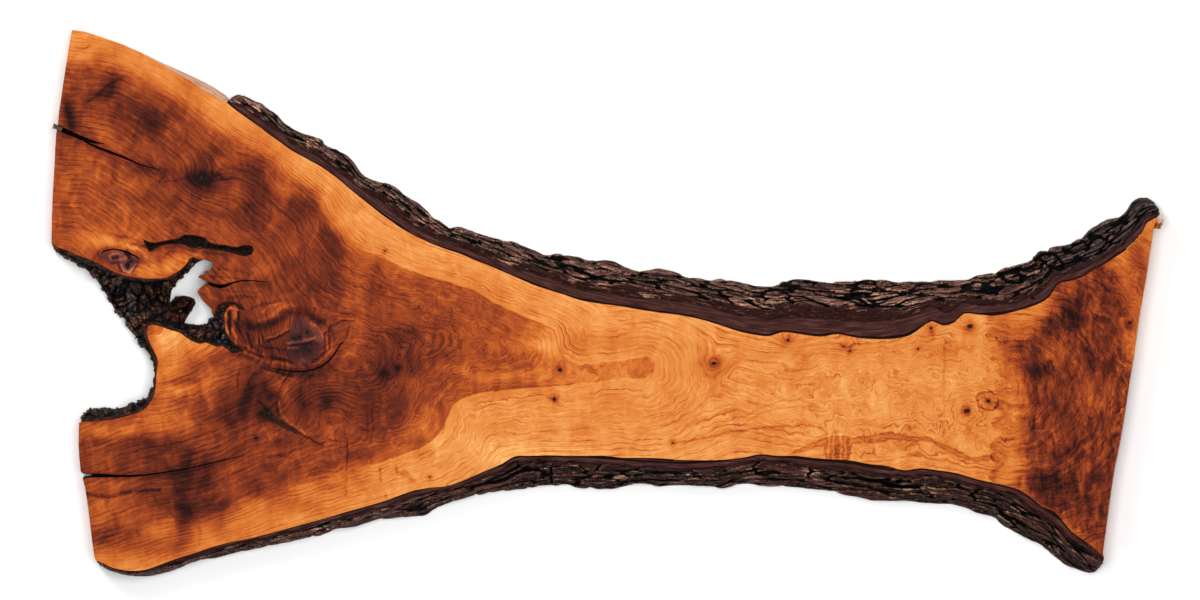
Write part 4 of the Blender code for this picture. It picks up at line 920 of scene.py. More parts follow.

# %% [markdown]
# The rest of the wood isn't oiled. The ends show sawn end grain, the cracks are painted dark inside as
# shade, the edge that lost its bark is a pinkish, silky slope, and the underside still has the mill's saw
# marks. Each is a finish of its own on the same piece, and a face gets one by the way it looks and where
# it stands.

# %% Finishes of the ends, cracks, bare edge and underside
PITH_PLACE = (0.0, 0.05, 0.16)      # how far beside and under the slab the trunk's middle would lie
RINGS_PER_METRE = 150.0
BARE_TURN = -0.434                  # the direction of the bare edge seen from above, in radians


def end_grain_finish():
    material, shader = new_finish("sawn_end_grain", 0.62, 0.25)
    place = place_on(shader)
    pith = node(place, "ShaderNodeMapping", {"Vector": place, "Location": PITH_PLACE}).outputs["Vector"]
    axis = node(pith, "ShaderNodeSeparateXYZ", {0: pith})
    bend = minus(grain_noise(place, 13.0, 3.0, 0.55), 0.5)
    squares = times_plus(axis.outputs[1], axis.outputs[1], times(axis.outputs[2], axis.outputs[2]))
    radius = times_plus(bend, 0.05, arithmetic("SQRT", squares))
    number = times(radius, RINGS_PER_METRE)
    each = joined(number)
    late_wood = arithmetic("POWER", arithmetic("FRACT", number), 3.0)
    late_wood = times(late_wood, grain_noise(each, 0.7, 2.0, 0.7))
    saw = grain_noise(stretched(place, (900.0, 900.0, 30.0)), 1.0, 2.0)
    pores = grain_noise(place, 700.0, 2.0, 0.6)
    patches = grain_noise(place, 14.0, 3.0)
    heart = softened(arithmetic("MAXIMUM", painted(shader, "heart"), painted(shader, "butt")), -8.0, 8.0)
    tone = times_plus(late_wood, 0.34, times_plus(patches, 0.36, 0.02))
    tone = times_plus(heart, 0.26, times_plus(saw, 0.10, tone))
    tone = times_plus(softened(pores, 0.56, 0.66), 0.10, tone)
    feed(shader, "Base Color", shades(tone, WOOD_COLOURS))
    roughen(shader, saw, 0.5, 0.5 * MM)
    return material


def shaded_split_finish():
    material, shader = new_finish("split_wood_painted_shade", 0.8, 0.15)
    place = place_on(shader)
    torn = grain_noise(stretched(place, (60.0, 60.0, 420.0)), 1.0, 4.0, 0.65)
    # split wood painted nearly black: this colour stands in for the shade inside the cracks, the hole and
    # beside the bark
    colour = shades(torn, [(0.30, (14, 8, 7)), (0.62, (52, 28, 20)), (0.85, (96, 52, 32))])
    feed(shader, "Base Color", colour)
    roughen(shader, torn, 0.8, 1.2 * MM)
    return material


def bare_edge_finish():
    material, shader = new_finish("bare_edge", 0.5, 0.3)
    place = place_on(shader)
    sockets = {"Vector": place, "Rotation": (0.0, 0.0, BARE_TURN), "Scale": (0.16, 0.004, 0.0065)}
    turned = node(place, "ShaderNodeMapping", sockets, vector_type="TEXTURE").outputs["Vector"]
    silk = grain_noise(turned, 1.0, 5.0, 0.62, 0.3)
    colour = shades(silk, [(0.28, (122, 72, 46)), (0.5, (186, 132, 96)), (0.72, (226, 186, 152))])
    feed(shader, "Base Color", colour)
    roughen(shader, silk, 0.35, 0.6 * MM)
    return material


def underside_finish():
    material, shader = new_finish("sawn_underside", 0.7, 0.2)
    place = place_on(shader)
    grain = grain_noise(stretched(place, (3.0, 60.0, 3.0)), 1.0, 5.0, 0.62, 0.7)
    heartwood = softened(grain_noise(stretched(place, (1.0, 2.4, 1.0)), 2.2, 2.0), 0.38, 0.56)
    saw = grain_noise(stretched(place, (420.0, 12.0, 12.0)), 1.0, 1.0)
    tone = times_plus(heartwood, 0.34, times_plus(grain, 0.34, 0.06))
    tone = times_plus(saw, 0.05, tone)
    feed(shader, "Base Color", shades(tone, WOOD_COLOURS))
    roughen(shader, saw, 0.5, 0.4 * MM)
    return material


wood_finishes = [oiled_face, end_grain_finish(), shaded_split_finish(), bare_edge_finish(), underside_finish()]
print([finish.name for finish in wood_finishes])

# %% [markdown]
# Now each face of the wood is told its finish. A face that looks up is oiled and one that looks down is
# the underside. The walls at the limbs' ends and at the butt are sawn end grain, and the sloping edge of
# the upper limb is bare. Every other wall stands beside bark, a crack or the hole, so it is split wood
# painted dark, as the shade in there.

# %% Choose a finish for every face of the wood
OILED, END, SHADED_SPLIT, BARE, UNDER = range(5)
BARE_X = (72, 228)      # the bare edge lies between these two and above the next, in pixels
BARE_Y = 104
LIMB_ENDS = 100         # ends left of this and right of the next are sawn, in pixels
BUTT_END = 1085
CRACK_REACH = 6.0       # a wall this near a check's line is inside the check, in pixels
INNER = 3 * MM          # a level face this far from both sawn faces is a crack's floor


def assign_wood_finishes(mesh):
    """Sort the faces by their direction and place."""
    for finish in wood_finishes:
        mesh.materials.append(finish)
    middles, normals = read_rows(mesh.polygons, "center"), read_rows(mesh.polygons, "normal")
    x, y = pixels_of(middles)
    cracks = np.min([line_distance(x, y, line)[0] for line in CHECKS], axis=0) < CRACK_REACH
    ends = (np.abs(normals[:, 0]) > 0.5) & ((x < LIMB_ENDS) | (x > BUTT_END)) & ~cracks
    bare = (x > BARE_X[0]) & (x < BARE_X[1]) & (normals[:, 1] > 0.5) & (y < BARE_Y)
    chosen = np.where(ends, END, SHADED_SPLIT)
    chosen[bare] = BARE
    chosen[normals[:, 2] < -LEVEL] = UNDER
    chosen[normals[:, 2] > LEVEL] = OILED
    inside = (middles[:, 2] < FACE - INNER) & (middles[:, 2] > INNER) & (np.abs(normals[:, 2]) > LEVEL)
    chosen[inside] = SHADED_SPLIT
    mesh.polygons.foreach_set("material_index", chosen.astype(np.int32))
    mesh.update()
    return np.bincount(chosen, minlength=5)


print("faces by finish:", assign_wood_finishes(wood.data).tolist())
hand_over(wood, "walnut_wood")

# %% [markdown]
# Bark along the edges is a long strip. A point of it is best described by how far it is along the strip
# and how far down its slope, because the ridges and furrows run along it. Both come from the line where the
# bark meets the wood.

# %% Lay a ruler along each strip of bark
RULER_DEPTH = 14.0      # how far inside the wood the ruler lies, in pixels
RULER_REACH = 22.0      # bends of the line that are shorter than this many pixels are averaged out
RULER_BEYOND = 90.0     # how far it runs on past both ends, in pixels
RULER_POINTS = 130


def ruler_of(line, side):
    """A smooth line that follows the strip from inside the wood, as a list of points."""
    points = np.array([row[:2] for row in line], float)
    before, after = points[0] - points[3], points[-1] - points[-4]
    points = np.vstack([points[0] + before * RULER_BEYOND / np.linalg.norm(before), points,
                        points[-1] + after * RULER_BEYOND / np.linalg.norm(after)])
    marks = np.concatenate([[0.0], np.cumsum(np.linalg.norm(np.diff(points, axis=0), axis=1))])
    steps = np.linspace(0.0, marks[-1], RULER_POINTS)
    even = np.column_stack([np.interp(steps, marks, points[:, axis]) for axis in (0, 1)])
    near = np.exp(-0.5 * ((steps[:, None] - steps[None, :]) / RULER_REACH) ** 2)
    even = near @ even / near.sum(axis=1, keepdims=True)
    even[:, 1] += side * RULER_DEPTH
    return even.tolist()


def strip_places(mesh, line, side):
    """Along, across, outwards, height, band width: arrays in millimetres for the strip's vertices."""
    places = vertex_places(mesh)
    x, y = pixels_of(places)
    outwards, on_line = line_distance(x, y, line)
    marks = [0.0]
    for start, end in zip(line, line[1:]):
        marks.append(marks[-1] + math.hypot(end[0] - start[0], end[1] - start[1]))
    band = np.interp(on_line, marks, [row[2] for row in line])
    across, along = line_distance(x, y, ruler_of(line, side))
    size = PIXEL / MM
    return size * along, size * (across - RULER_DEPTH), size * outwards, places[:, 2] / MM, size * band


print("rulers of", len(UPPER_LINE), "and", len(LOWER_LINE), "marks")

# %% [markdown]
# Walnut bark grows in thick plates that split along the trunk. Seen close, a plate is a long island with
# steep sides, broken across here and there, and the furrow between two plates is deep; its finish paints
# it black, as the shade in it. Cells of stretched noise give such islands: near a cell's border the surface
# drops, and each cell has its own height and slope. Finer noise in the same stretched space makes the
# flakes on a plate.

# %% Raise the plates and cut the furrows
FURROW_DEPTH = 7.0
FURROW_WIDTH = 1.8


def plate_cell(along, across, plate, seed):
    """Distance to the nearest furrow, and a number of its own for the plate."""
    length, width = plate
    bend = noise.noise_vector(Vector((along / 80.0, across / 40.0, seed)))
    place = Vector((along / length + 0.5 * bend.x, (across + 0.10 * along) / width + 0.8 * bend.y, seed))
    distances, points = noise.voronoi(place)
    own = noise.cell(points[0] * 7.31)
    return distances[1] - distances[0], own, place - points[0]


def plate_height(along, across, plate, seed):
    """Height of the bark without its furrows, how far the next furrow is, and the plate's own number."""
    border, own, offset = plate_cell(along, across, plate, seed)
    crown = min(border / 0.5, 1.0)
    flakes = noise.noise(Vector((along / 15.0, across / 3.4, seed + 9.0)))
    steps = noise.noise(Vector((along / 34.0, across / 6.5, seed + 4.0)))
    tilted = 2.4 * (own - 0.6) + 3.0 * offset.y * (own - 0.3) + 2.4 * (crown - 0.6)
    return tilted + 1.1 * flakes + 1.6 * steps, border * plate[1], own


UPPER_PLATE = (66.0, 13.5)      # length and width of a plate of the upper edge, in millimetres
LOWER_PLATE = (84.0, 19.0)
print("plates are about", UPPER_PLATE, "and", LOWER_PLATE, "mm")

# %% [markdown]
# Where a plate broke lately, the dry inner bark shows as long tan flakes. They lie in groups, and those
# groups are placed by soft ovals, in pixels, like the shades of the wood. The bulb at the butt is made of
# a few lumps with a gap round each, and one crack runs straight across the lower strip.

# %% Place the groups of flakes
FLAKES = [
    (258, 108, 20, 5, 35, 1.0), (312, 140, 34, 6, 35, 1.0), (372, 178, 24, 6, 35, 0.7),
    (430, 215, 30, 6, 30, 0.7), (510, 261, 16, 8, 20, 1.0), (572, 279, 18, 5, 20, 0.9),
    (606, 283, 14, 5, 10, 0.9), (646, 296, 18, 7, 10, 1.0), (690, 304, 12, 4, 10, 0.7),
    (766, 300, 22, 7, 0, 1.0), (868, 297, 38, 12, 5, 1.0), (905, 303, 16, 8, 0, 0.8),
    (978, 280, 10, 5, -20, 0.9), (1010, 262, 16, 6, -20, 0.5), (1078, 222, 14, 5, -20, 0.4),
    (321, 528, 8, 4, -10, 1.0), (380, 511, 14, 4, -15, 0.7), (543, 468, 5, 3, 0, 1.0),
    (573, 466, 5, 3, 0, 1.0), (616, 478, 12, 4, 0, 1.0), (685, 478, 10, 4, 0, 0.8),
    (740, 470, 16, 4, 0, 0.5), (814, 476, 14, 5, 0, 1.0), (905, 490, 14, 6, 10, 1.0),
    (934, 492, 8, 6, 0, 1.0), (1010, 512, 16, 5, 30, 0.6), (1060, 548, 14, 5, 35, 0.6),
]
LUMPS = [
    (1108, 226, 17, 9, -22), (1079, 243, 13, 6, -25), (1050, 258, 15, 6, 35), (1031, 264, 12, 5, -8),
    (1012, 276, 10, 5, 10),
]
CROSS_CRACK = [(551, 470), (552, 488)]
print(len(FLAKES), "groups of flakes,", len(LUMPS), "lumps")


def lump_gap(x, y):
    """How far the nearest gap round a lump is, in millimetres."""
    gap = np.full(x.shape, 99.0)
    for px, py, reach_x, reach_y, turn in LUMPS:
        cosine, sine = math.cos(math.radians(turn)), math.sin(math.radians(turn))
        way_x, way_y = x - px, y - py
        wave = 0.10 * np.sin(way_x * 0.55) + 0.08 * np.cos(way_y * 0.8)
        lengthwise = (way_x * cosine + way_y * sine) / reach_x
        share = np.hypot(lengthwise, (way_y * cosine - way_x * sine) / reach_y)
        gap = np.minimum(gap, np.abs(share + wave - 1.06) * 2.0 * reach_y)
    return gap


# %% [markdown]
# The solid of a strip has a few hundred coarse facets. Its rough side is divided until its edges are two or
# three millimetres long, softened so that the facets go, and then raised and cut by the plates. The sawn
# band, the underside and the wall against the wood stay flat, so the strip still fits the wood.

# %% Grow the two strips
BAND_SHARE = 0.55       # how much of the smooth bark is the sawn band, and the rest is the worn shelf
SHELF_ROUGH = 0.30      # how rough the worn shelf is between the sawn band and the plates
STILL_WALL = 1.2        # nothing moves this near the wood's edge, in millimetres
STILL_FOOT = 0.4        # nor this near the floor
FLAT = 0.97             # the bark's level faces have a normal steeper than this
SKIN = 0.5 * MM         # and lie this near the sawn face or the floor
LONGEST_BARK_EDGE = 3.4 * MM
WEATHERED_BULB = (1030.0, 1075.0)   # the upper strip turns blue-black between these pixels, up to the butt


def halve(bm, edges):
    """Halve edges of triangles and split the faces at the new points, so that no sliver is left."""
    halved = bmesh.ops.subdivide_edges(bm, edges=edges, cuts=1)
    points = [item for item in halved["geom_inner"] if isinstance(item, bmesh.types.BMVert)]
    bmesh.ops.connect_verts(bm, verts=points)
    new = set(points)
    for face in [face for face in bm.faces if len(face.verts) == 4]:
        corner = next(place for place, vert in enumerate(face.verts) if vert in new)
        bmesh.utils.face_split(face, face.verts[corner], face.verts[corner - 2])


def divide_rough_side(mesh, wanted, rounds):
    """Halve the long edges of faces that are neither level nor on the wall against the wood."""
    bm = bmesh.new()
    bm.from_mesh(mesh)
    rough = bm.faces.layers.int.new("rough")
    for face in bm.faces:
        face[rough] = int(wanted(face))
    for _ in range(rounds):
        long_edges = [edge for edge in bm.edges if edge.calc_length() > LONGEST_BARK_EDGE]
        halve(bm, [edge for edge in long_edges if any(face[rough] for face in edge.link_faces)])
    inner = [vert for vert in bm.verts if all(face[rough] for face in vert.link_faces)]
    axes = {"use_axis_x": True, "use_axis_y": True, "use_axis_z": True}
    for _ in range(4):
        bmesh.ops.smooth_vert(bm, verts=inner, factor=0.5, **axes)
    bm.faces.layers.int.remove(rough)
    bm.to_mesh(mesh)
    bm.free()


def push_vertices(mesh, direction, lift, low, high):
    """Move vertices by lift millimetres along a direction, but not out of the box from low to high."""
    places = vertex_places(mesh) + direction * lift[:, None] * MM
    mesh.vertices.foreach_set("co", np.clip(places, low, high).astype(np.float32).ravel())


def grow_strip(node_name, name, line, side, plate, shelf, seed):
    """Make a strip of bark from its solid. side is 1 for the upper edge and -1 for the lower one."""
    strip = merged_copy(node_name, name)
    mesh = strip.data

    def rough_face(face):
        centre = face.calc_center_median()
        level = abs(face.normal.z) > FLAT and (centre.z > FACE - SKIN or centre.z < SKIN)
        faces_wood = face.normal.y * side < -0.25 and centre.z > 0.1 * MM and abs(face.normal.z) < 0.5
        return not level and not faces_wood or centre.z > FACE - SKIN

    divide_rough_side(mesh, rough_face, 4)
    along, across, outwards, height, band = strip_places(mesh, line, side)
    places = vertex_places(mesh)
    x, y = pixels_of(places)
    depth = FACE / MM - height
    across = across + 0.9 * depth
    wave = np.array([noise.noise(Vector((a / 30.0, d / 40.0, seed))) for a, d in zip(along, across)])
    slow = np.array([noise.noise(Vector((a / 110.0, 0.5, seed + 3.0))) for a in along])
    band_edge = band * BAND_SHARE + 4.0 * wave
    shelf_edge = band * shelf + 7.0 * wave + 8.0 * slow
    rough = SHELF_ROUGH * ramp(outwards, band_edge - 3.0, band_edge + 0.5)
    rough += (1.0 - SHELF_ROUGH) * ramp(outwards, shelf_edge - 3.0, shelf_edge + 1.0)
    off_floor = ramp(height, STILL_FOOT, 7.0)
    rough = np.maximum(rough, ramp(depth, 0.5, 5.0)) * off_floor
    still = (outwards < STILL_WALL) | (height < STILL_FOOT)
    rough = np.where(still, 0.0, rough * np.minimum(outwards / 3.0, 1.0))
    relief = np.array([plate_height(a, d, plate, seed) for a, d in zip(along, across)])
    cut = np.minimum(lump_gap(x, y), 2.0 * line_distance(x, y, CROSS_CRACK)[0])
    inland = np.minimum(outwards / 3.0, 1.0) * off_floor
    furrow = np.exp(-(relief[:, 1] / FURROW_WIDTH) ** 2) * rough
    furrow = np.maximum(furrow, 1.3 * np.exp(-(cut / 2.2) ** 2) * inland)
    gap = np.minimum(relief[:, 1] + 6.0 * (1.0 - rough), 0.75 * cut + 3.0 * (1.0 - inland))
    lift = relief[:, 0] * rough - FURROW_DEPTH * furrow
    level_part = depth < 0.3
    normals = read_rows(mesh.vertices, "normal")
    push = np.where(level_part[:, None], np.array([0.0, 0.0, 1.0]), normals)
    lift = np.where(level_part, np.minimum(lift - 2.0 * rough, 0.0), lift)
    lift = np.where(still, 0.0, lift)
    push_vertices(mesh, push, lift, places.min(axis=0), places.max(axis=0))
    near_face = depth < 12.0
    paint_values(mesh, along=along, across=across, rough=rough, gap=np.clip(gap, 0.0, 12.0),
                 plate=relief[:, 2], outwards=outwards,
                 flakes=np.clip(soft_ovals(x, y, FLAKES), 0.0, 1.0),
                 edge=np.exp(-((outwards - shelf_edge) / 2.2) ** 2) * near_face,
                 ledge=np.exp(-((outwards - band_edge) / 1.5) ** 2) * near_face,
                 weather=ramp(x, *WEATHERED_BULB) * (side > 0))
    mesh.shade_smooth()
    mesh.update()
    return strip


upper_bark = grow_strip("upper_edge_bark", "ridged_bark_upper", UPPER_LINE, 1, UPPER_PLATE, 1.10, 2.0)
lower_bark = grow_strip("lower_edge_bark", "ridged_bark_lower", LOWER_LINE, -1, LOWER_PLATE, 1.00, 17.0)
print("strips have", len(upper_bark.data.vertices), "and", len(lower_bark.data.vertices), "vertices")

# %% [markdown]
# Bark is painted nearly black in its furrows, as the shade in them, and its plates differ from dark brown
# to grey and reddish. Their rims are pale, partly worn and partly a painted highlight. Fine cracks cross
# them, and the tan flakes lie along them. The sawn band is smoother and plum brown, with faint streaks, and
# a thin black line parts it from the wood.

# %% Finish of the edge bark
BARK_VALUES = ("along", "across", "rough", "gap", "plate", "outwards", "flakes", "edge", "ledge", "weather")
SHELF_COLOURS = [(0.30, (12, 3, 3)), (0.47, (38, 14, 12)), (0.60, (62, 26, 21)), (0.80, (110, 62, 48))]
BAND_COLOURS = [(0.30, (34, 13, 11)), (0.46, (54, 27, 24)), (0.58, (76, 44, 39)), (0.75, (104, 68, 60))]


def edge_bark_finish(name, stops, flake_scale, rim_highlight, tan_amount):
    """Edge bark. rim_highlight: worn rims with a painted highlight; tan_amount: how much inner bark shows.
    """
    material, shader = new_finish(name, 0.5, 0.14)
    along, across, rough, gap, plate, outwards, groups, edge, ledge, weather = (
        painted(shader, value) for value in BARK_VALUES)
    strip = joined(along, across)
    flaky = grain_noise(stretched(strip, (*flake_scale, 1.0)), 1.0, 5.0, 0.65, 0.4)
    fine = grain_noise(stretched(strip, (0.25, 1.1, 1.0)), 1.0, 3.0, 0.6)
    patch = grain_noise(stretched(strip, (0.018, 0.05, 1.0)), 1.0, 2.0)
    rugged = softened(rough, 0.45, 0.75)

    # the plates, each with its own shade, some weathered to a cold plum and some reddish
    own = times_plus(plate, 0.42, times_plus(flaky, 1.7, -0.58))
    colour = shades(own, stops)
    cold = times(softened(patch, 0.56, 0.68), 0.4)
    colour = blended(cold, colour, tint(60, 38, 46))
    warm = times(softened(patch, 0.44, 0.32), 0.45)
    colour = blended(warm, colour, tint(66, 24, 16))

    # the worn shelf beside the sawn band is smoother and dark red-brown
    colour = blended(rugged, shades(flaky, SHELF_COLOURS), colour)

    # pale rims beside the furrows, worn and partly a painted highlight, and long tan flakes where plates
    # broke lately
    bits = grain_noise(stretched(strip, (0.040, 0.28, 1.0)), 1.0, 3.0, 0.55, 0.5)
    tan = shades(fine, [(0.3, (132, 70, 46)), (0.5, (218, 152, 116)), (0.66, (255, 232, 206))])
    torn = times_plus(minus(fine, 0.5), 3.0, gap)
    lip = times(softened(torn, 1.9, 2.7), softened(torn, 5.2, 3.3))
    worn = times(times(lip, softened(fine, 0.38, 0.58)), rugged)
    colour = blended(times(worn, rim_highlight), colour, tint(178, 130, 112))
    chance = times_plus(groups, 0.13, bits)
    broken = times(softened(chance, 0.635, 0.665), softened(rough, 0.10, 0.4))
    amount = times_plus(groups, 0.5, 0.35)
    broken = times(broken, tan_amount)
    colour = blended(times(broken, amount), colour, tan)
    beside = arithmetic("MAXIMUM", lip, edge)
    bright = times(beside, softened(chance, 0.54, 0.62))
    colour = blended(times(bright, times_plus(groups, 0.75, 0.30)), colour, tan)

    specks = grain_noise(stretched(strip, (0.11, 0.40, 1.0)), 1.0, 2.0, 0.5)
    specks = times(softened(specks, 0.645, 0.675), rugged)
    colour = blended(times(specks, 0.7), colour, tint(186, 116, 62))

    # the bulb at the butt is blue-black
    cold = times(weather, times_plus(rugged, 0.34, 0.14))
    colour = blended(cold, colour, tint(48, 48, 62))

    # furrows painted black as the shade in them, and hairline cracks on the plates
    colour = blended(softened(torn, 2.6, 1.6), colour, tint(2, 1, 1))
    web = grain_noise(stretched(strip, (0.035, 0.17, 1.0)), 1.0, 3.0, 0.5, 1.0)
    hair = times(softened(web, 0.470, 0.494), softened(web, 0.530, 0.506))
    hair = times(hair, softened(rough, 0.05, 0.3))
    colour = blended(times(hair, 0.92), colour, tint(4, 2, 2))

    # the flat sawn band, and the dark line of the inner bark beside the wood
    streaks = grain_noise(stretched(strip, (0.02, 0.35, 1.0)), 1.0, 4.0, 0.6)
    band = shades(streaks, BAND_COLOURS)
    rays = grain_noise(stretched(strip, (0.40, 0.05, 1.0)), 1.0, 3.0, 0.6)
    band = blended(times(softened(rays, 0.55, 0.70), 0.35), band, tint(30, 10, 8))
    colour = blended(softened(rough, 0.05, 0.25), band, colour)
    parting = times(ledge, softened(streaks, 0.40, 0.52))
    colour = blended(times(parting, 0.8), colour, tint(6, 2, 2))
    colour = blended(softened(outwards, 2.6, 1.4), colour, tint(14, 5, 4))
    feed(shader, "Base Color", colour)
    vary_shine(shader, flaky, 0.30, 0.62)
    relief = times(times_plus(flaky, 1.0, times(fine, 0.5)), times_plus(rough, 0.9, 0.1))
    roughen(shader, relief, 1.0, 5.0 * MM)
    return material


UPPER_STOPS = [
    (0.20, (12, 5, 4)), (0.38, (50, 24, 21)), (0.54, (88, 52, 46)), (0.70, (132, 90, 80)),
    (0.88, (204, 156, 138)),
]
LOWER_STOPS = [
    (0.20, (8, 3, 3)), (0.42, (44, 19, 17)), (0.60, (74, 38, 35)), (0.76, (104, 62, 58)),
    (0.92, (150, 104, 96)),
]
UPPER_FLAKES = (0.055, 0.30)
LOWER_FLAKES = (0.040, 0.15)
ridged_finish = edge_bark_finish("ridged_walnut_bark", UPPER_STOPS, UPPER_FLAKES, 0.55, 0.8)
smooth_finish = edge_bark_finish("smooth_walnut_bark", LOWER_STOPS, LOWER_FLAKES, 0.22, 0.3)
for strip, node_name, finish in ((upper_bark, "upper_edge_bark", ridged_finish),
                                 (lower_bark, "lower_edge_bark", smooth_finish)):
    strip.data.materials.append(finish)
    hand_over(strip, node_name)

# %% [markdown]
# The bark in the fork was squeezed between the limbs as they grew, so it has no long plates. It is a steep
# heap of rounded lumps with deep gaps, which its finish paints black as shade. Beside the wood a narrow rim
# of it was sawn flat with the face. How far a point is from the wood decides how rough it may be, and that
# keeps the bark out of the wood.

# %% Heap up the lumps of the fork's bark
wood_shape = bmesh.new()
wood_shape.from_mesh(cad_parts["walnut_wood"].data)
wood_tree = BVHTree.FromBMesh(wood_shape)
wood_shape.free()


def distance_to_wood(mesh):
    """How far each vertex is from the wood, in millimetres."""
    return np.array([wood_tree.find_nearest(vert.co)[3] / MM for vert in mesh.vertices])


def lump(place, size, seed):
    """Height of a lump from 0 to 1, how deep its gaps are, and a number of its own."""
    upright = Vector((place[0], place[1], 0.6 * place[2]))
    warped = upright / size + 0.5 * noise.noise_vector(upright / (1.6 * size))
    distances, points = noise.voronoi(warped + Vector((seed, 0.0, 0.0)))
    own = noise.cell(points[0] * 7.31)
    gap = math.exp(-((distances[1] - distances[0]) / 0.14) ** 2)
    return min(1.5 * (1.0 - min(distances[0], 1.0) ** 2), 1.0) * (0.3 + 0.7 * own), gap, own


THIN_RIM = 1.2          # bark this near the wood stays smooth where it wasn't sawn, in millimetres


def heap_up(node_name, name, size, height, rim, seed):
    """Refine a solid of lumpy bark and raise its lumps, away from the wood."""
    piece = merged_copy(node_name, name)
    mesh = piece.data

    def free_face(face):
        centre = face.calc_center_median()
        if centre.z < SKIN and abs(face.normal.z) > FLAT:
            return False
        return face.normal.z > 0.3 or wood_tree.find_nearest(centre)[3] > 1.5 * MM

    divide_rough_side(mesh, free_face, 5)
    places = vertex_places(mesh)
    away = distance_to_wood(mesh)
    heights = places[:, 2] / MM
    shapes = np.array([lump(place / MM, size, seed) for place in places])
    small = np.array([lump(place / MM, 0.38 * size, seed + 5.0) for place in places])
    fine = np.array([noise.noise(Vector(place / (3.4 * MM))) for place in places])
    on_face = heights > FACE / MM - 0.5
    inner, outer = np.where(on_face, rim, THIN_RIM), np.where(on_face, rim + 8.0, THIN_RIM + 4.0)
    rough = ramp(away, inner, outer) * ramp(heights, STILL_FOOT, 6.0)
    lift = height * (shapes[:, 0] - 0.45 - 0.9 * shapes[:, 1])
    lift = lift + 0.4 * height * (small[:, 0] - 0.4 - 0.5 * small[:, 1])
    lift = np.clip((lift + 0.8 * fine) * rough, -0.5 * away, 0.5 * away)
    low, high = places.min(axis=0), places.max(axis=0)
    high[2] = FACE
    push_vertices(mesh, read_rows(mesh.vertices, "normal"), lift, low, high)
    paint_values(mesh, gap=np.maximum(shapes[:, 1], 0.7 * small[:, 1]) * rough,
                 own=0.6 * shapes[:, 2] + 0.4 * small[:, 2], rough=rough)
    mesh.shade_smooth()
    mesh.update()
    return piece


fork_heap = heap_up("fork_bark", "lumpy_fork_bark", 17.0, 7.5, 7.0, 3.0)
pocket_bark = heap_up("included_bark", "cracked_pocket_bark", 9.0, 3.0, 1.0, 8.0)
print("fork bark has", len(fork_heap.data.vertices), "vertices")
print("pocket bark has", len(pocket_bark.data.vertices), "vertices")

# %% [markdown]
# Its colours are patchy: painted nearly black in the gaps as the shade in them, blue-grey where the weather
# reached it, tan and pink where a flake broke off, and dark red on the side of the nub in the hole. Soft
# ovals place the patches, as they placed the shades of the wood. The pocket's bark is charcoal with grey
# facets.

# %% Finish of the fork's and the pocket's bark
BLUE_GREY = [
    (117, 290, 5, 8, 0, 1.0), (130, 295, 7, 6, 20, 1.0), (136, 304, 5, 6, 0, 0.9), (125, 312, 6, 7, 0, 0.8),
    (219, 325, 9, 7, 0, 0.9), (221, 340, 6, 5, 30, 1.0), (213, 318, 5, 5, 0, 0.7), (156, 314, 7, 5, 0, 0.4),
]
TAN_FLAKES = [
    (161, 300, 3, 3, 0, 1.0), (153, 307, 4, 3, 0, 0.9), (118, 305, 3, 5, 0, 0.7), (143, 317, 6, 3, 0, 0.7),
    (107, 284, 4, 4, 0, 0.6), (96, 276, 12, 4, 30, 0.5), (228, 322, 3, 10, -10, 0.8),
    (234, 334, 3, 8, -20, 0.7), (137, 322, 8, 4, 30, 0.7), (126, 300, 4, 4, 0, 0.5),
    (152, 292, 14, 4, 5, 0.5), (128, 330, 5, 6, 40, 0.5),
]
DEEP_RED = [
    (187, 306, 5, 9, 10, 1.0), (176, 317, 8, 4, 0, 0.8), (146, 332, 5, 12, 10, 0.6),
    (90, 268, 24, 4, 25, 0.35), (200, 334, 16, 4, 20, 0.5), (150, 352, 4, 10, 0, 0.5),
    (236, 342, 5, 5, 0, 0.6),
]


def paint_patches(mesh):
    x, y = pixels_of(vertex_places(mesh))
    patches = {"blue": BLUE_GREY, "tan": TAN_FLAKES, "red": DEEP_RED}
    shares = {name: np.clip(soft_ovals(x, y, rows), 0.0, 1.0) for name, rows in patches.items()}
    paint_values(mesh, **shares)


def lumpy_bark_finish(name, stops, gloss, tan):
    """Bark of the fork or the pocket. tan is how much broken bark shows outside its patches."""
    material, shader = new_finish(name, 0.45, gloss)
    place = place_on(shader)
    gap, own, rough = (painted(shader, value) for value in ("gap", "own", "rough"))
    coarse = grain_noise(place, 110.0, 4.0, 0.62, 0.5)
    fine = grain_noise(stretched(place, (300.0, 420.0, 420.0)), 1.0, 3.0, 0.6)
    level = times_plus(own, 0.45, times_plus(coarse, 1.1, -0.28))
    colour = shades(level, stops)
    for patch, tone in (("blue", (76, 72, 84)), ("red", (92, 28, 18))):
        share = times(painted(shader, patch), softened(coarse, 0.40, 0.60))
        colour = blended(share, colour, tint(*tone))
    flake = times(softened(fine, 0.52, 0.58), times_plus(painted(shader, "tan"), 0.95, tan))
    flake_colour = shades(coarse, [(0.35, (146, 80, 44)), (0.55, (210, 142, 92)), (0.7, (246, 198, 160))])
    colour = blended(flake, colour, flake_colour)
    # the gaps between the lumps are painted nearly black, as the shade in them
    colour = blended(softened(gap, 0.25, 0.7), colour, tint(3, 1, 1))
    rim = shades(coarse, [(0.3, (20, 6, 4)), (0.5, (52, 20, 14)), (0.7, (92, 48, 34))])
    colour = blended(softened(rough, 0.30, 0.02), colour, rim)
    feed(shader, "Base Color", colour)
    vary_shine(shader, coarse, 0.28, 0.7)
    roughen(shader, times_plus(fine, 0.5, coarse), 1.0, 4.0 * MM)
    return material


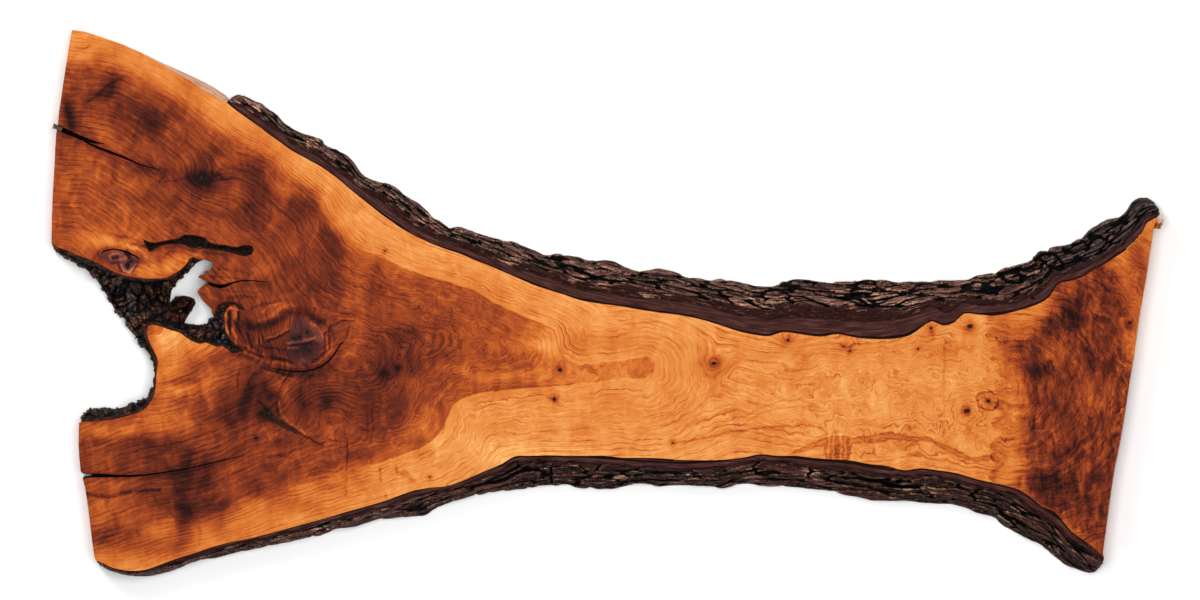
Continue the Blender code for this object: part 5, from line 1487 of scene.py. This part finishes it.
fork_stops = [(0.25, (4, 1, 1)), (0.45, (27, 13, 10)), (0.60, (64, 38, 30)), (0.78, (122, 88, 74))]
pocket_stops = [(0.30, (2, 1, 1)), (0.54, (10, 6, 6)), (0.68, (30, 22, 22)), (0.85, (96, 82, 80))]
for piece, node_name, stops, gloss, tan in ((fork_heap, "fork_bark", fork_stops, 0.2, 0.13),
                                            (pocket_bark, "included_bark", pocket_stops, 0.18, 0.04)):
    paint_patches(piece.data)
    piece.data.materials.append(lumpy_bark_finish("lumpy_" + node_name, stops, gloss, tan))
    hand_over(piece, node_name)

# %% [markdown]
# Two torn bits remain. A splinter stands in the mouth of the upper limb's check and a chip hangs on the
# butt's end. Torn walnut breaks into fibres, so each is divided finely and combed: its surface is pushed in
# and out by noise that is long one way, the way the fibres run.

# %% Comb the splinter and the chip
LONGEST_FIBRE_EDGE = 1.1 * MM


def comb(node_name, name, fibre, depth, seed):
    """Refine a torn bit and groove it along its fibres. fibre scales the noise along each axis."""
    piece = merged_copy(node_name, name)
    mesh = piece.data
    bm = bmesh.new()
    bm.from_mesh(mesh)
    for _ in range(5):
        halve(bm, [edge for edge in bm.edges if edge.calc_length() > LONGEST_FIBRE_EDGE])
    bm.to_mesh(mesh)
    bm.free()
    places = vertex_places(mesh)
    low, high = places.min(axis=0), places.max(axis=0)
    away = distance_to_wood(mesh)
    grooves = np.array([noise.fractal(Vector(place * fibre + seed), 1.0, 2.0, 4) for place in places / MM])
    push = -depth * (0.5 + 0.5 * np.clip(grooves, -1.0, 1.0)) * ramp(away, 0.6, 2.5)
    push_vertices(mesh, read_rows(mesh.vertices, "normal"), push, low, high)
    paint_values(mesh, groove=grooves)
    mesh.update()
    return piece


splinter = comb("check_splinter", "combed_splinter", np.array((0.10, 0.9, 0.5)), 1.6, 4.0)
chip = comb("butt_chip", "combed_chip", np.array((0.5, 0.12, 0.6)), 2.2, 9.0)
print("splinter", len(splinter.data.vertices), "and chip", len(chip.data.vertices), "vertices")

# %% [markdown]
# The splinter is dull: grey-olive, with a tan tip. The chip is resinous, so it is dark red-brown with
# orange where light comes through its edge and a pale top painted as the highlight on its resin.

# %% Finish of the torn bits
def torn_finish(name, stops, tip_and_highlight_axis, tip_and_highlight_range, tip_and_highlight_stops):
    """Torn fibres, and a tip of other colours between two places along an axis: the chip's is a painted
    highlight.
    """
    material, shader = new_finish(name, 0.42, 0.4)
    place = place_on(shader)
    patches = grain_noise(place, 170.0, 3.0, 0.6)
    level = times_plus(painted(shader, "groove"), 0.35, patches)
    body = shades(level, stops)
    tip_and_highlight_colour = shades(level, tip_and_highlight_stops)
    position = node(place, "ShaderNodeSeparateXYZ", {0: place}).outputs[tip_and_highlight_axis]
    share = softened(times_plus(patches, 0.006, position), *tip_and_highlight_range)
    feed(shader, "Base Color", blended(share, body, tip_and_highlight_colour))
    roughen(shader, level, 0.6, 0.8 * MM)
    return material


splinter_stops = [(0.2, (24, 20, 14)), (0.5, (72, 62, 44)), (0.8, (120, 106, 78))]
splinter_tip = [(0.2, (120, 84, 52)), (0.7, (196, 158, 112))]
chip_stops = [(0.2, (48, 18, 10)), (0.45, (120, 48, 20)), (0.7, (206, 112, 44))]
# the chip's pale top is a painted highlight on its resin, not a colour of its own
chip_top_highlight = [(0.2, (150, 96, 62)), (0.6, (232, 196, 164))]
dull = torn_finish("torn_splinter", splinter_stops, 0, (-1.099, -1.106), splinter_tip)
resinous = torn_finish("torn_chip", chip_stops, 1, (0.161, 0.166), chip_top_highlight)
splinter.data.materials.append(dull)
chip.data.materials.append(resinous)
hand_over(splinter, "check_splinter")
hand_over(chip, "butt_chip")

# %% [markdown]
# The photograph was taken from straight above on a white ground. The camera stands 18 m up with a long
# lens, so that the sides hardly show. Four large soft lights stand round the slab and one hangs above it,
# which also lights the floor inside the hole. A light straight above would mirror in the oil and turn the
# dark wood grey, so that one is filtered: it is left out of the reflections.

# %% Floor, light and camera
CAMERA_HEIGHT = 18.0
FRAME_WIDTH = 2.4           # the photograph's width on the wood, in metres
SENSOR = 36.0
FLOOR_SIZE = 9.0


def pale_floor():
    bm = bmesh.new()
    bmesh.ops.create_grid(bm, x_segments=1, y_segments=1, size=FLOOR_SIZE)
    bmesh.ops.translate(bm, vec=(0.0, 0.0, -0.5 * MM), verts=bm.verts)
    mesh = bpy.data.meshes.new("pale floor")
    bm.to_mesh(mesh)
    bm.free()
    floor = bpy.data.objects.new("pale_floor", mesh)
    material, shader = new_finish("pale_floor", 0.9, 0.1)
    shader.inputs["Base Color"].default_value = (0.97, 0.97, 0.97, 1.0)
    mesh.materials.append(material)
    bpy.context.scene.collection.objects.link(floor)


def soft_light(name, place, size, power):
    """A square light that looks at the middle of the slab."""
    light = bpy.data.lights.new(name, "AREA")
    light.size = size
    light.energy = power
    lamp = bpy.data.objects.new(name, light)
    lamp.location = place
    lamp.rotation_euler = (-Vector(place)).to_track_quat("-Z", "Y").to_euler()
    bpy.context.scene.collection.objects.link(lamp)
    return lamp


def overhead_camera():
    camera = bpy.data.cameras.new("overhead")
    camera.sensor_width = SENSOR
    camera.lens = SENSOR * (CAMERA_HEIGHT - FACE) / FRAME_WIDTH
    camera.clip_end = 100.0
    stand = bpy.data.objects.new("overhead", camera)
    stand.location = (*at(600, 300), CAMERA_HEIGHT)
    bpy.context.scene.collection.objects.link(stand)
    bpy.context.scene.camera = stand


pale_floor()
soft_light("window_upper_left", (-3.0, 3.6, 3.6), 2.0, 150)
soft_light("window_upper_right", (3.4, 3.4, 3.4), 2.6, 55)
soft_light("window_lower_left", (-3.4, -3.4, 3.4), 2.6, 48)
soft_light("window_lower_right", (3.4, -3.4, 3.4), 2.6, 48)
overhead = soft_light("filtered_overhead", (0.0, 0.0, 5.0), 3.0, 195)
overhead.visible_glossy = False
world = bpy.data.worlds.new("studio")
world.use_nodes = True
world.node_tree.nodes["Background"].inputs["Color"].default_value = (1.0, 1.0, 1.0, 1.0)
world.node_tree.nodes["Background"].inputs["Strength"].default_value = 0.12
bpy.context.scene.world = world
bpy.context.scene.view_settings.view_transform = "Standard"
overhead_camera()
print("camera lens", round(bpy.context.scene.camera.data.lens, 1), "mm")
